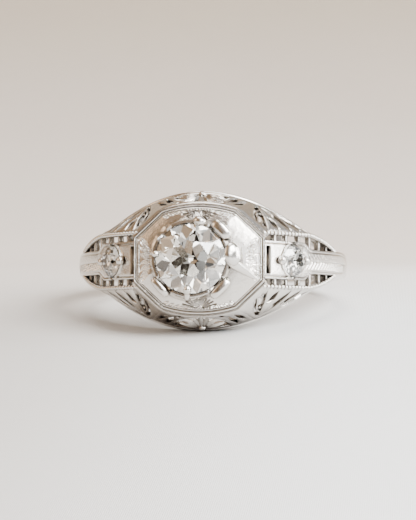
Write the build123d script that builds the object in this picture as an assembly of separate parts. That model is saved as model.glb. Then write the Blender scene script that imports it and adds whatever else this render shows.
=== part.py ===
"""Filigree engagement ring, in millimetres.

The finger hole runs along Z and its centre is the origin. The head faces -Y. The ring lies on its side, so +Z is up.
Angles named "turn" are degrees round the finger hole, counted from the middle of the head towards +X.
"""

import os
from math import asin, atan, cos, degrees, radians, sin, sqrt, tan

from build123d import *

# Band
FINGER_R = 8.45
SHANK_THICKNESS = 1.2
SHANK_WIDTH = 1.9
SHANK_EDGE_R = 0.42
SHANK_INNER_EDGE_R = 0.08
SHANK_FRONT_TURN = 36.0

# Lens outline of the front, seen from the head side
RIM_THICKNESS = 0.7
RIM_WIDTH = 0.48
RIM_HALF_SPAN = 4.86
RIM_END_HALF_SPAN = 0.95
RIM_END_TURN = 66.0
RIM_FADE_TURN = 82.0

# Octagonal head
HEAD_TOP = 12.0
HEAD_SIDE_X = 4.45
HEAD_SIDE_Z = 1.5
HEAD_CORNER_X = 2.55
HEAD_CORNER_Z = 3.3
HEAD_BULGE = 0.42
FRAME_WIDTH = 0.42
FRAME_HEIGHT = 0.62
PLATE_THICKNESS = 0.35
PLATE_RISE = 0.55
PLATE_INNER_SCALE = 0.5
WALL = 0.42
BRIDGE_TURN = 33.0
BRIDGE_WIDTH = 0.9

# Centre stone and its collet
STONE_X = -0.5
STONE_R = 2.43
STONE_GIRDLE_TOP = 12.85
GIRDLE_THICKNESS = 0.08
CROWN_ANGLE = 36.0
TABLE_SHARE = 0.53
STAR_SHARE = 0.79
LOWER_SHARE = 0.44
PAVILION_ANGLE = 40.5
CULET_SHARE = 0.07
COLLET_R = 2.74
COLLET_FOOT_R = 1.75
COLLET_FOOT = 10.0
COLLET_TOP = 12.92
COLLET_WALL = 0.3
SCALLOP_R = 0.85
PRONG_WIDTH = 0.92
PRONG_DEPTH = 0.74
PRONG_TOP = 13.2
PRONG_FOOT = 12.0
PRONG_REACH = 2.62
PRONG_CORNER = 0.24
SCALLOP_RISE = 0.45
SEAT_CLEARANCE = 0.02

# Shoulders
SHOULDER_START_TURN = 21.6
SHOULDER_END_TURN = 83.0
SHOULDER_END_R = 9.76
SHOULDER_RISE = 2.35
SHOULDER_POWER = 2.5
SHOULDER_THICKNESS = 0.55
SIDE_PLATE_HALF = 1.3
SIDE_PLATE_END_X = 6.9
SIDE_SLOT_X = (4.6, 5.0)
SIDE_SLOT_HALF = 0.95
LEAF_HALF = 0.84
LEAF_START_X = 7.55
SIDE_STONE_R = 1.12
SIDE_STONE_TURN = 34.2
SIDE_STONE_PROUD = 0.16
SIDE_BEAD_R = 0.3
SIDE_SEAT_DEPTH = 1.4
RAIL_HALF_SPAN = 1.84
RAIL_WIDTH = 0.34
RAIL_HEIGHT = 0.62
RAIL_DROP = 0.12
RAIL_END_TURN = 66.0
RAIL_CLOSING_TURN = 43.0
RAIL_CLOSING = 0.95
LADDER_BAR_WIDTH = 0.3
LADDER_BAR_HEIGHT = 0.42
LADDER_TURNS = (27.0, 32.5, 39.5, 46.5, 53.5, 60.0)
RIB_WIDTH = 0.4
RIB_THICKNESS = 0.36
RIB_TURNS = ((26.0, 36.0), (32.0, 42.0), (39.0, 49.0), (47.0, 56.0))
RIB_TILT = 0.9

# Pierced screens between the head and the rims; heights are from the finger hole's axis
SCREEN_FOOT = 7.2
RIM_INSET = 0.22
WINDOW_R = 0.55
WINDOW_HEIGHT = 10.23
GALLERY_FOOT_X = 3.5
GALLERY_FLARE = 0.55
ARCH_R = 1.75
ARCH_HEIGHT = 9.55
ARCH_DEPTH = 2.4
SIDE_LEAF_SIZE = (1.95, 0.72)
SIDE_LEAF_X = 2.72
SIDE_LEAF_HEIGHT = 9.35
SIDE_LEAF_TILT = 12.0
SPANDREL_R = 0.2
SPANDREL_X = 2.1
SPANDREL_HEIGHT = 11.05
BUD_R = 0.42
BUD_HEIGHT = 10.55
STEM_SIZE = (0.34, 1.9)
STEM_HEIGHT = 9.6
BLOSSOM_LEAVES = ((38.0, 9.5, 1.62, 0.62), (72.0, 9.35, 1.9, 0.5))  # spread, height, length, width
CORNER_FOOT_X = (3.75, 5.15)
CORNER_FLARE = 0.1
CORNER_SLOT_SIZE = (1.7, 0.58)
CORNER_SLOT_HEIGHT = 9.35
CORNER_SLOTS = ((-0.42, 8.0), (0.5, -8.0))  # place along the wall, tilt

SHANK_R = FINGER_R + SHANK_THICKNESS
RIM_R = FINGER_R + RIM_THICKNESS
DEEP = 20.0
SIDES = (("left", -1), ("right", 1))
LEVELS = (("upper", 1), ("lower", -1))


def plan_point(turn, radius):
    """A point of the finger-hole plane, at a turn from the middle of the head."""
    return (radius * sin(radians(turn)), -radius * cos(radians(turn)))


def rim_half_span(turn):
    """Half the height of the lens outline at a turn."""
    grown = (RIM_HALF_SPAN - RIM_END_HALF_SPAN) * cos(radians(90 * turn / RIM_FADE_TURN)) ** 2
    return RIM_END_HALF_SPAN + grown


def shoulder_radius(turn):
    """Top of the shoulder, from the finger hole's axis."""
    share = (SHOULDER_END_TURN - turn) / (SHOULDER_END_TURN - SHOULDER_START_TURN)
    return SHOULDER_END_R + SHOULDER_RISE * max(share, 0) ** SHOULDER_POWER


def shoulder_lean(turn):
    """Turn of the shoulder's outward normal where the shoulder is at a given turn."""
    step = 0.5
    rise = (shoulder_radius(turn + step) - shoulder_radius(turn - step)) / radians(2 * step)
    return turn - degrees(atan(rise / shoulder_radius(turn)))


def rail_half_span(turn):
    """Height of a beaded rail's middle above the ring's mid plane."""
    closing = max(0.0, (turn - RAIL_CLOSING_TURN) / (RAIL_END_TURN - 1 - RAIL_CLOSING_TURN))
    return RAIL_HALF_SPAN - RAIL_CLOSING * closing ** 1.5


def steps(first, last, count):
    """Evenly spaced numbers from first to last."""
    return [first + (last - first) * i / (count - 1) for i in range(count)]


def front_prism(face):
    """A face drawn in X and Z, run back from the head to the middle of the finger hole."""
    return extrude(Plane.XZ * face, amount=DEEP)


def plan_prism(face):
    """A face drawn in the finger-hole plane, run both ways along the finger hole."""
    return extrude(face, amount=DEEP / 2, both=True)


def closed_face(*edges):
    """A face inside edges that follow each other."""
    return make_face(list(edges))


def band_face(outer, inner):
    """A face between two rows of points that run the same way."""
    return closed_face(
        Spline(*outer),
        Line(outer[-1], inner[-1]),
        Spline(*inner),
        Line(inner[0], outer[0]),
    )


def without(shape, *others):
    """A shape less its neighbours, so that the two meet face to face."""
    for other in others:
        shape = shape - other
    return shape


def largest(shape, count):
    """The largest solids of a shape, without the slivers that trimming leaves."""
    kept = sorted(shape.solids(), key=lambda solid: solid.volume)[-count:]
    return Compound(children=kept)


def export(node, shape):
    """Writes one named piece."""
    export_step(Compound(children=list(shape.solids())), f"parts/{node}.step")


# Band -----------------------------------------------------------------------


def make_shank():
    """Rounded band that is open under the head."""
    middle = FINGER_R + SHANK_THICKNESS / 2
    section = Pos(middle, 0) * Rectangle(SHANK_THICKNESS, SHANK_WIDTH)
    outer = section.vertices().filter_by(lambda v: v.X > middle)
    section = fillet(outer, SHANK_EDGE_R)
    inner = section.vertices().filter_by(lambda v: v.X < FINGER_R + SHANK_INNER_EDGE_R / 2)
    section = fillet(inner, SHANK_INNER_EDGE_R)
    swept = revolve(Plane.XZ * section, Axis.Z, 360 - 2 * SHANK_FRONT_TURN)
    return Rot(0, 0, SHANK_FRONT_TURN - 90) * swept


def make_rim(level):
    """Edge of the lens outline, which lies on the finger."""
    turns = steps(-RIM_END_TURN, RIM_END_TURN, 13)
    reach = (FINGER_R + RIM_R) / 2
    outer = [(reach * sin(radians(t)), rim_half_span(t)) for t in turns]
    inner = [(x, z - RIM_WIDTH) for x, z in outer]
    strip = front_prism(band_face(outer, inner))
    tube = Cylinder(RIM_R, DEEP) - Cylinder(FINGER_R, DEEP)
    rim = strip & tube
    return rim if level > 0 else mirror(rim, Plane.XY)


def make_bridge(side):
    """Cross bar on the finger that joins the two rims beside the head."""
    tube = Cylinder(RIM_R, DEEP) - Cylinder(FINGER_R, DEEP)
    middle = plan_point(side * BRIDGE_TURN, RIM_R)
    half = rim_half_span(BRIDGE_TURN) - RIM_WIDTH / 2
    bar = Plane(origin=(middle[0], middle[1], 0), z_dir=(middle[0], middle[1], 0), x_dir=(0, 0, 1))
    return tube & (bar * Box(2 * half, BRIDGE_WIDTH, 4))


# Head -----------------------------------------------------------------------


def octagon(shrink=0.0, scale=1.0):
    """Head outline in X and Z: straight sides and corners, and bulged top and bottom edges."""
    side_x = (HEAD_SIDE_X - shrink) * scale
    side_z = (HEAD_SIDE_Z - shrink * 0.35) * scale
    corner_x = (HEAD_CORNER_X - shrink * 0.5) * scale
    corner_z = (HEAD_CORNER_Z - shrink) * scale
    top_z = corner_z + HEAD_BULGE * scale
    return closed_face(
        ThreePointArc((-corner_x, corner_z), (0, top_z), (corner_x, corner_z)),
        Line((corner_x, corner_z), (side_x, side_z)),
        Line((side_x, side_z), (side_x, -side_z)),
        Line((side_x, -side_z), (corner_x, -corner_z)),
        ThreePointArc((corner_x, -corner_z), (0, -top_z), (-corner_x, -corner_z)),
        Line((-corner_x, -corner_z), (-side_x, -side_z)),
        Line((-side_x, -side_z), (-side_x, side_z)),
        Line((-side_x, side_z), (-corner_x, corner_z)),
    )


def head_plane(height):
    """The plane across the head at a height from the finger hole's axis."""
    return Plane(origin=(0, -height, 0), x_dir=(1, 0, 0), z_dir=(0, -1, 0))


def make_head_frame():
    """Octagonal border of the head."""
    ring = octagon() - octagon(FRAME_WIDTH)
    return extrude(head_plane(HEAD_TOP - FRAME_HEIGHT) * ring, amount=FRAME_HEIGHT)


def pyramid(base_height, rise):
    """Facets that rise from inside the frame towards the stone."""
    foot = head_plane(base_height) * octagon(FRAME_WIDTH)
    crest = head_plane(base_height + rise) * Pos(STONE_X, 0) * octagon(FRAME_WIDTH, PLATE_INNER_SCALE)
    return loft([foot, crest], ruled=True)


def make_top_plate():
    """Faceted plate round the collet."""
    sheet = pyramid(HEAD_TOP - PLATE_THICKNESS, PLATE_RISE + PLATE_THICKNESS)
    hollow = pyramid(HEAD_TOP - 2 * PLATE_THICKNESS, PLATE_RISE + PLATE_THICKNESS)
    seat = extrude(head_plane(HEAD_TOP - 2) * Pos(STONE_X, 0) * Circle(COLLET_R), amount=4)
    return sheet - hollow - seat


def cone_stack(*rings):
    """A turned shape along the head's axis, from (height, radius) pairs."""
    outline = [(0, rings[0][0])] + [(r, h) for h, r in rings] + [(0, rings[-1][0])]
    turned = revolve(Plane.XZ * make_face(Polyline(*outline, close=True)), Axis.Z)
    return Rot(90, 0, 0) * turned


def at_stone(shape):
    """Moves a shape from the head's middle to the stone's axis."""
    return Pos(STONE_X, 0, 0) * shape


def make_collet():
    """Tapered collar under the stone, with four scallops between the prongs."""
    outer = cone_stack((COLLET_FOOT, COLLET_FOOT_R), (HEAD_TOP, COLLET_R), (COLLET_TOP, COLLET_R))
    foot_bore = COLLET_FOOT_R - COLLET_WALL
    ledge = STONE_GIRDLE_TOP - GIRDLE_THICKNESS
    rest = STONE_R - 0.15
    seat_r = STONE_R + SEAT_CLEARANCE
    bore = cone_stack(
        (COLLET_FOOT - 0.1, foot_bore),
        (HEAD_TOP, rest - 0.05),
        (ledge, rest),
        (ledge + 0.001, seat_r),
        (COLLET_TOP + 0.1, seat_r),
    )
    collet = outer - bore
    scallop = Cylinder(SCALLOP_R, DEEP, align=(Align.CENTER, Align.CENTER, Align.MIN))
    for quarter in range(4):
        placed = Pos(0, 0, COLLET_TOP + SCALLOP_RISE) * Rot(0, 0, 45 + 90 * quarter) * Rot(0, 90, 0) * scallop
        collet = collet - Rot(90, 0, 0) * placed
    return collet


def stone_solid(faces):
    """A closed solid from lists of corner points."""
    made = [Face(Wire.make_polygon([Vector(*p) for p in face], close=True)) for face in faces]
    return Solid(Shell(made))


def ring_of(radius, height, offset, count=8):
    """Corner points spaced round the stone's axis; offset is in steps."""
    angles = [radians(360 / count * (i + offset)) for i in range(count)]
    return [(radius * cos(a), radius * sin(a), height) for a in angles]


def old_cut_stone(radius):
    """Old European cut: table, stars, kites, halves, girdle, pavilion and an open culet. Girdle top is at height 0."""
    slope = tan(radians(CROWN_ANGLE))
    fall = tan(radians(PAVILION_ANGLE))
    half_step = cos(radians(22.5))
    table_r = TABLE_SHARE * radius
    star_r = STAR_SHARE * radius
    lower_r = LOWER_SHARE * radius
    culet_r = CULET_SHARE * radius
    bottom = -GIRDLE_THICKNESS
    table = ring_of(table_r, (radius - table_r) * slope, 0)
    star = ring_of(star_r, (radius - star_r * half_step) * slope, 0.5)
    top = ring_of(radius, 0, 0, 16)
    low = ring_of(radius, bottom, 0, 16)
    split = ring_of(lower_r, bottom - (radius - lower_r * half_step) * fall, 0.5)
    culet = ring_of(culet_r, bottom - (radius - culet_r * half_step) * fall, 0.5)
    faces = [table, culet[::-1]]
    for k in range(8):
        n = (k + 1) % 8
        main, half, after = 2 * k, 2 * k + 1, (2 * k + 2) % 16
        faces += [
            [table[k], star[k], table[n]],
            [table[k], star[k - 1], top[main], star[k]],
            [top[main], top[half], star[k]],
            [top[half], top[after], star[k]],
            [low[main], low[half], top[half], top[main]],
            [low[half], low[after], top[after], top[half]],
            [low[half], low[main], split[k]],
            [low[after], low[half], split[k]],
            [low[main], split[k - 1], culet[k - 1], culet[k], split[k]],
        ]
    return stone_solid(faces)


def make_prong(quarter):
    """Claw over the girdle; quarter 0 is at +X and counts towards +Z."""
    height = PRONG_TOP - PRONG_FOOT
    block = Box(PRONG_DEPTH, PRONG_WIDTH, height, align=(Align.CENTER, Align.CENTER, Align.MIN))
    block = chamfer(block.edges().filter_by(Axis.Z), PRONG_CORNER)
    block = chamfer(block.faces().sort_by(Axis.Z)[-1].edges(), PRONG_CORNER)
    placed = Rot(0, 0, 90 * quarter) * Pos(PRONG_REACH, 0, PRONG_FOOT) * block
    return Rot(90, 0, 0) * placed


def make_end_wall(side):
    """Upright wall under the head frame, between the frame and the bridge."""
    tall = HEAD_TOP - FRAME_HEIGHT
    wall = Pos(side * (HEAD_SIDE_X - WALL / 2), -tall / 2, 0) * Box(WALL, tall, 2 * HEAD_SIDE_Z)
    window = Pos(side * HEAD_SIDE_X, -WINDOW_HEIGHT, 0) * Rot(0, 90, 0) * Cylinder(WINDOW_R, 4)
    return wall - window - Cylinder(RIM_R, DEEP)


# Screens --------------------------------------------------------------------


def wall_strip(first, last, bulge):
    """A thin face along a line or a shallow arc, in X and Z, growing inwards by the wall thickness."""
    middle = ((first[0] + last[0]) / 2, (first[1] + last[1]) / 2 + bulge)
    across = (last[1] - first[1], first[0] - last[0])
    size = sqrt(across[0] ** 2 + across[1] ** 2)
    shift = (across[0] / size * WALL, across[1] / size * WALL)
    inner = [(p[0] + shift[0], p[1] + shift[1]) for p in (first, middle, last)]
    if bulge:
        return closed_face(
            ThreePointArc(first, middle, last),
            Line(last, inner[2]),
            ThreePointArc(inner[2], inner[1], inner[0]),
            Line(inner[0], first),
        )
    return make_face(Polyline(first, last, inner[2], inner[0], close=True))


def rim_mark(x):
    """Point of the rim's outer edge, in X and Z, a little inside the lens outline."""
    turn = degrees(asin(x / ((FINGER_R + RIM_R) / 2)))
    return (x, rim_half_span(turn) - RIM_INSET)


def sloped_wall(top_first, top_last, top_bulge, foot_first, foot_last, foot_bulge):
    """A wall that leans out from under the head frame and is cut off at the rim."""
    upper = head_plane(HEAD_TOP - FRAME_HEIGHT) * wall_strip(top_first, top_last, top_bulge)
    lower = head_plane(SCREEN_FOOT) * wall_strip(foot_first, foot_last, foot_bulge)
    return loft([upper, lower], ruled=True) - Cylinder(RIM_R, DEEP)


def leaf_face(length, width):
    """A pointed leaf that lies along X from the origin."""
    return closed_face(
        ThreePointArc((0, 0), (length / 2, width / 2), (length, 0)),
        ThreePointArc((length, 0), (length / 2, -width / 2), (0, 0)),
    )


def upright_prism(face):
    """A face drawn in X and height, run through the upper wall along the finger hole."""
    drawn = Plane.XY.offset(HEAD_SIDE_Z) * face
    return extrude(drawn, amount=RIM_HALF_SPAN)


def gallery_wall():
    """Unpierced wall above the rim; upper one."""
    foot = rim_mark(GALLERY_FOOT_X)
    return sloped_wall(
        (-HEAD_CORNER_X, HEAD_CORNER_Z),
        (HEAD_CORNER_X, HEAD_CORNER_Z),
        HEAD_BULGE,
        (-foot[0], foot[1] + GALLERY_FLARE),
        (foot[0], foot[1] + GALLERY_FLARE),
        rim_mark(0)[1] - foot[1],
    )


def make_gallery_screen(wall):
    """Openings for the blossom and two side leaves; upper one."""
    arch = Pos(0, -ARCH_HEIGHT) * (Circle(ARCH_R) & Pos(0, -ARCH_DEPTH / 2) * Rectangle(2 * ARCH_R, ARCH_DEPTH))
    wall = wall - upright_prism(arch)
    for side in (-1, 1):
        place = Pos(side * SIDE_LEAF_X, -SIDE_LEAF_HEIGHT) * Rot(0, 0, -90 - side * SIDE_LEAF_TILT)
        opening = place * leaf_face(*SIDE_LEAF_SIZE)
        small = Pos(side * SPANDREL_X, -SPANDREL_HEIGHT) * Circle(SPANDREL_R)
        wall = wall - upright_prism(opening) - upright_prism(small)
    return wall


def make_blossom(wall):
    """Bud, leaves and a stem that fill the arch of a gallery screen; upper one."""
    bud = Pos(0, -BUD_HEIGHT) * Circle(BUD_R)
    stem = Pos(0, -STEM_HEIGHT) * Rectangle(*STEM_SIZE)
    shape = bud + stem
    for side in (-1, 1):
        for spread, height, length, width in BLOSSOM_LEAVES:
            shape = shape + Pos(0, -height) * Rot(0, 0, -90 + side * spread) * leaf_face(length, width)
    return upright_prism(shape) & wall


def make_corner_screen():
    """Pierced wall under the head's diagonal edge; upper right one."""
    first, last = (rim_mark(x) for x in CORNER_FOOT_X)
    wall = sloped_wall(
        (HEAD_CORNER_X, HEAD_CORNER_Z),
        (HEAD_SIDE_X, HEAD_SIDE_Z),
        0,
        (first[0] + CORNER_FLARE, first[1] + CORNER_FLARE),
        (last[0] + CORNER_FLARE, last[1] + CORNER_FLARE),
        0,
    )
    across = Vector(HEAD_CORNER_Z - HEAD_SIDE_Z, 0, HEAD_SIDE_X - HEAD_CORNER_X).normalized()
    along = Vector(HEAD_SIDE_X - HEAD_CORNER_X, 0, HEAD_SIDE_Z - HEAD_CORNER_Z).normalized()
    middle = Vector(HEAD_SIDE_X + HEAD_CORNER_X, 0, HEAD_SIDE_Z + HEAD_CORNER_Z) * 0.5
    view = Plane(origin=middle, x_dir=along, z_dir=across)
    for reach, tilt in CORNER_SLOTS:
        slot = Pos(reach, CORNER_SLOT_HEIGHT) * Rot(0, 0, 90 + tilt) * leaf_face(*CORNER_SLOT_SIZE)
        for face in (slot, mirror(slot, Plane.XZ)):
            wall = wall - extrude(view * face, amount=RIM_HALF_SPAN / 2, both=True)
    return wall


# Shoulders ------------------------------------------------------------------


def shoulder_strip(drop, thickness, first=SHOULDER_START_TURN, last=SHOULDER_END_TURN):
    """Plan strip that follows the shoulder, some way below its top."""
    turns = steps(first, last, 8)
    outer = [plan_point(t, shoulder_radius(t) - drop) for t in turns]
    inner = [plan_point(t, shoulder_radius(t) - drop - thickness) for t in turns]
    return plan_prism(band_face(outer, inner))


def make_shoulder_plate():
    """Plate that carries a side stone and runs out into a leaf; right one."""
    tip_x = SHOULDER_END_R
    outline = closed_face(
        Line((HEAD_SIDE_X, SIDE_PLATE_HALF), (SIDE_PLATE_END_X, SIDE_PLATE_HALF)),
        Spline((SIDE_PLATE_END_X, SIDE_PLATE_HALF), (LEAF_START_X, LEAF_HALF), tangents=((1, 0), (1, 0))),
        Line((LEAF_START_X, LEAF_HALF), (tip_x, LEAF_HALF)),
        Line((tip_x, LEAF_HALF), (tip_x, -LEAF_HALF)),
        Line((tip_x, -LEAF_HALF), (LEAF_START_X, -LEAF_HALF)),
        Spline((LEAF_START_X, -LEAF_HALF), (SIDE_PLATE_END_X, -SIDE_PLATE_HALF), tangents=((-1, 0), (-1, 0))),
        Line((SIDE_PLATE_END_X, -SIDE_PLATE_HALF), (HEAD_SIDE_X, -SIDE_PLATE_HALF)),
        Line((HEAD_SIDE_X, -SIDE_PLATE_HALF), (HEAD_SIDE_X, SIDE_PLATE_HALF)),
    )
    first, last = SIDE_SLOT_X
    slot = Pos((first + last) / 2, 0) * Rectangle(last - first, 2 * SIDE_SLOT_HALF)
    return shoulder_strip(0, SHOULDER_THICKNESS, SHOULDER_START_TURN - 2) & front_prism(outline - slot)


def side_stone_place():
    """Where the right side stone's girdle lies, with its axis along the shoulder's normal."""
    lean = radians(shoulder_lean(SIDE_STONE_TURN))
    x, y = plan_point(SIDE_STONE_TURN, shoulder_radius(SIDE_STONE_TURN))
    normal = (sin(lean), -cos(lean))
    origin = (x + normal[0] * SIDE_STONE_PROUD, y + normal[1] * SIDE_STONE_PROUD, 0)
    return Plane(origin=origin, x_dir=(0, 0, 1), z_dir=(normal[0], normal[1], 0))


def make_side_seat(place):
    """Hole under a side stone."""
    return place * Pos(0, 0, -SIDE_SEAT_DEPTH / 2 - 0.1) * Cylinder(SIDE_STONE_R * 0.8, SIDE_SEAT_DEPTH)


def make_side_beads(place):
    """Two raised beads that hold a side stone, towards the head and towards the band."""
    reach = SIDE_STONE_R + SIDE_BEAD_R * 0.45
    beads = [place * Pos(0, way * reach, -0.06) * Sphere(SIDE_BEAD_R) for way in (-1, 1)]
    return beads[0] + beads[1]


def make_rail():
    """Rail between the ladder and the leaf screen; upper right one."""
    turns = steps(SHOULDER_START_TURN - 1.5, RAIL_END_TURN, 9)
    middle = [((shoulder_radius(t) - RAIL_DROP) * sin(radians(t)), rail_half_span(t)) for t in turns]
    outer = [(x, z + RAIL_WIDTH / 2) for x, z in middle]
    inner = [(x, z - RAIL_WIDTH / 2) for x, z in middle]
    return front_prism(band_face(outer, inner)) & shoulder_strip(RAIL_DROP, RAIL_HEIGHT, SHOULDER_START_TURN - 2)


def make_ladder():
    """Short bars between the shoulder plate and the rail; upper right ones."""
    marks = []
    for turn in LADDER_TURNS:
        x = (shoulder_radius(turn) - RAIL_DROP) * sin(radians(turn))
        low = LEAF_HALF - 0.1
        high = rail_half_span(turn)
        marks.append(Pos(x, (low + high) / 2) * Rectangle(LADDER_BAR_WIDTH, high - low))
    return front_prism(Sketch() + marks) & shoulder_strip(RAIL_DROP + 0.1, LADDER_BAR_HEIGHT)


def slope_point(turn, share):
    """A point of the sloping side between the rail, share 0, and the rim, share 1."""
    top_r = shoulder_radius(turn) - RAIL_DROP - RAIL_HEIGHT / 2
    foot_r = RIM_R - 0.15
    z_top = rail_half_span(turn)
    z_foot = rim_half_span(turn) - 0.3
    x, y = plan_point(turn, top_r + (foot_r - top_r) * share)
    return Vector(x, y, z_top + (z_foot - z_top) * share)


def make_leaf_screen():
    """Slanted ribs between the rail and the rim; upper right ones."""
    ribs = []
    for foot_turn, top_turn in RIB_TURNS:
        foot = slope_point(foot_turn, 1.0)
        top = slope_point(top_turn, 0.0)
        run = top - foot
        outward = Vector(foot.X, foot.Y, 0).normalized() + Vector(0, 0, RIB_TILT)
        facing = outward - run.normalized() * outward.dot(run.normalized())
        place = Plane(origin=(foot + top) * 0.5, x_dir=run, z_dir=facing)
        ribs.append(place * Box(run.length, RIB_WIDTH, RIB_THICKNESS))
    return ribs


# Assembly -------------------------------------------------------------------


def build():
    """Makes every piece, trims each against those it is soldered to, and returns them by name."""
    pieces = {}
    shank = make_shank()
    rims = {level: make_rim(sign) - shank for level, sign in LEVELS}
    frame = make_head_frame()
    plate = make_top_plate() - frame
    stone = at_stone(Rot(90, 0, 0) * (Pos(0, 0, STONE_GIRDLE_TOP) * old_cut_stone(STONE_R)))
    collet = at_stone(make_collet()) - stone
    prongs = [largest(without(at_stone(make_prong(q)), collet, plate, stone), 1) for q in range(4)]
    pieces["shank"] = shank
    pieces["head_frame"] = frame
    pieces["top_plate"] = plate
    pieces["collet"] = collet
    pieces["centre_diamond"] = stone
    for name, prong in zip(("right", "top", "left", "bottom"), prongs):
        pieces[f"claw_{name}"] = prong

    finger = Cylinder(FINGER_R, DEEP)
    place = side_stone_place()
    side_stone = place * old_cut_stone(SIDE_STONE_R)
    wall = without(make_end_wall(1), shank)
    shoulder = without(make_shoulder_plate(), shank, wall, frame, make_side_seat(place), side_stone)
    beads = without(make_side_beads(place), side_stone, shoulder)
    bridge = largest(without(make_bridge(1), shank, rims["upper"], rims["lower"]), 1)
    rail = without(make_rail(), shank, shoulder, wall, frame)
    ladder = largest(without(make_ladder(), shoulder, rail, wall, shank), len(LADDER_TURNS))
    corner = without(make_corner_screen(), rims["upper"], frame, wall, rail, bridge)
    trimmed = [without(r, finger, rims["upper"], rail, corner, shank, bridge, ladder) for r in make_leaf_screen()]
    leaves = Compound(children=[largest(rib, 1).solids()[0] for rib in trimmed])
    screen = make_gallery_screen(gallery_wall())
    gallery = without(screen, rims["upper"], frame, corner, mirror(corner, Plane.YZ))
    blossom = without(make_blossom(gallery_wall()), screen, rims["upper"], frame)

    for side_name, side in SIDES:
        for node, shape in (
            ("end_wall", wall),
            ("bridge", bridge),
            ("shoulder_plate", shoulder),
            ("side_diamond", side_stone),
            ("side_beads", beads),
        ):
            pieces[f"{node}_{side_name}"] = shape if side > 0 else mirror(shape, Plane.YZ)
        for level_name, level in LEVELS:
            for node, shape in (
                ("beaded_rail", rail),
                ("ladder_bars", ladder),
                ("corner_screen", corner),
                ("leaf_ribs", leaves),
            ):
                shape = shape if side > 0 else mirror(shape, Plane.YZ)
                shape = shape if level > 0 else mirror(shape, Plane.XY)
                pieces[f"{node}_{level_name}_{side_name}"] = shape
    for level_name, level in LEVELS:
        pieces[f"rim_{level_name}"] = rims[level_name]
        pieces[f"gallery_screen_{level_name}"] = gallery if level > 0 else mirror(gallery, Plane.XY)
        pieces[f"blossom_{level_name}"] = blossom if level > 0 else mirror(blossom, Plane.XY)
    return pieces


os.makedirs("parts", exist_ok=True)
for node, shape in build().items():
    export(node, shape)
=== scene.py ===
"""Finished look of a filigree engagement ring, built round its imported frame.

Lengths are millimetres until a mesh is made. The finger hole runs along Z and the head faces -Y.
A "turn" is an angle in degrees round the finger hole, counted from the middle of the head towards +X.
Ornaments are drawn for the upper right quarter of the ring and mirrored to the other quarters.
"""

from math import cos, pi, radians, sin, sqrt, tan

import bpy
import numpy as np
from bpy.props import FloatProperty, FloatVectorProperty, IntProperty, PointerProperty
from bpy.types import Operator, Panel, PropertyGroup
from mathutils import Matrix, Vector
from mathutils.geometry import delaunay_2d_cdt


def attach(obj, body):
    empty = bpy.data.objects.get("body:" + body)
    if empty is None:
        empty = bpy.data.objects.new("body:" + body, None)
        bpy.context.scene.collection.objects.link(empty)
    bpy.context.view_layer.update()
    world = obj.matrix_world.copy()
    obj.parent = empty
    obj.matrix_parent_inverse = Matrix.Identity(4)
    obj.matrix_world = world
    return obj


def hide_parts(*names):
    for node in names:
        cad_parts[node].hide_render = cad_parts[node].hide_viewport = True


bl_info = {
    "name": "Filigree ring",
    "version": (1, 0, 0),
    "blender": (4, 5, 0),
    "location": "3D View > Sidebar > Ring",
    "description": "Builds the metal ornament, the stones and the stage of a filigree engagement ring",
    "category": "Add Mesh",
}

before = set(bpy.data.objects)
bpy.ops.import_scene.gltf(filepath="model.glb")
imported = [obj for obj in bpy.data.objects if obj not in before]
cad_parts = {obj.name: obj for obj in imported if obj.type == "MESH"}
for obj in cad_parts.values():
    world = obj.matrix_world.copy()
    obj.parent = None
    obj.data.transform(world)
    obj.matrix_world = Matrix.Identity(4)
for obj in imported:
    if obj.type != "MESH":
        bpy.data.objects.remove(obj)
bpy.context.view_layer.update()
MM = 0.001

# Driving sizes, as in the ring's frame
FINGER_R = 8.45
SHANK_THICKNESS = 1.2
SHANK_WIDTH = 1.9
SHANK_EDGE_R = 0.42
SHANK_INNER_EDGE_R = 0.08
SHANK_FRONT_TURN = 36.0
RIM_THICKNESS = 0.7
RIM_WIDTH = 0.37
FOOT_INSET = 0.27
FLANK_SWELL = 0.35 / 2.2
GALLERY_FOOT_X = 3.5
CORNER_FOOT_X = 5.25
RIM_HALF_SPAN = 4.86
RIM_END_HALF_SPAN = 0.95
RIM_FADE_TURN = 82.0
HEAD_TOP = 12.0
HEAD_SIDE_X = 4.45
HEAD_SIDE_Z = 1.5
HEAD_CORNER_X = 2.55
HEAD_CORNER_Z = 3.3
HEAD_BULGE = 0.42
HEAD_ARC_R = (HEAD_CORNER_X ** 2 + HEAD_BULGE ** 2) / (2 * HEAD_BULGE)
HEAD_ARC_Z = HEAD_CORNER_Z + HEAD_BULGE - HEAD_ARC_R
FRAME_WIDTH = 0.42
FRAME_HEIGHT = 0.62
BORDER = 0.28
PLATE_SLOPE = 0.42
PLATE_RISE = 0.9
PLATE_UNDERSIDE = 11.6
STONE_X = -0.5
STONE_R = 2.43
STONE_GIRDLE_TOP = 12.85
GIRDLE_SHARE = 0.033
CROWN_ANGLE = 36.0
TABLE_SHARE = 0.53
PAVILION_ANGLE = 40.5
CULET_SHARE = 0.07
COLLET_R = 2.74
COLLET_BASE_R = 2.92
COLLET_LIP_R = 2.6
COLLET_FOOT_R = 1.75
COLLET_FOOT = 10.0
COLLET_TOP = 12.92
COLLET_WALL = 0.3
SCALLOP_R = 0.85
SCALLOP_RISE = 0.45
SHOULDER_START_TURN = 21.6
SHOULDER_END_TURN = 83.0
SHOULDER_END_R = 9.76
SHOULDER_RISE = 2.35
SHOULDER_POWER = 2.5
SIDE_PLATE_HALF = 1.3
SIDE_PLATE_END_X = 6.9
LEAF_HALF = 0.84
LEAF_END_HALF = 0.36
LEAF_START_X = 7.55
SIDE_STONE_R = 1.12
SIDE_STONE_TURN = 34.2
SIDE_STONE_PROUD = 0.16
SIDE_BEAD_R = 0.3
RAIL_HALF_SPAN = 1.84
RAIL_WIDTH = 0.34
RAIL_HEIGHT = 0.62
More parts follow.
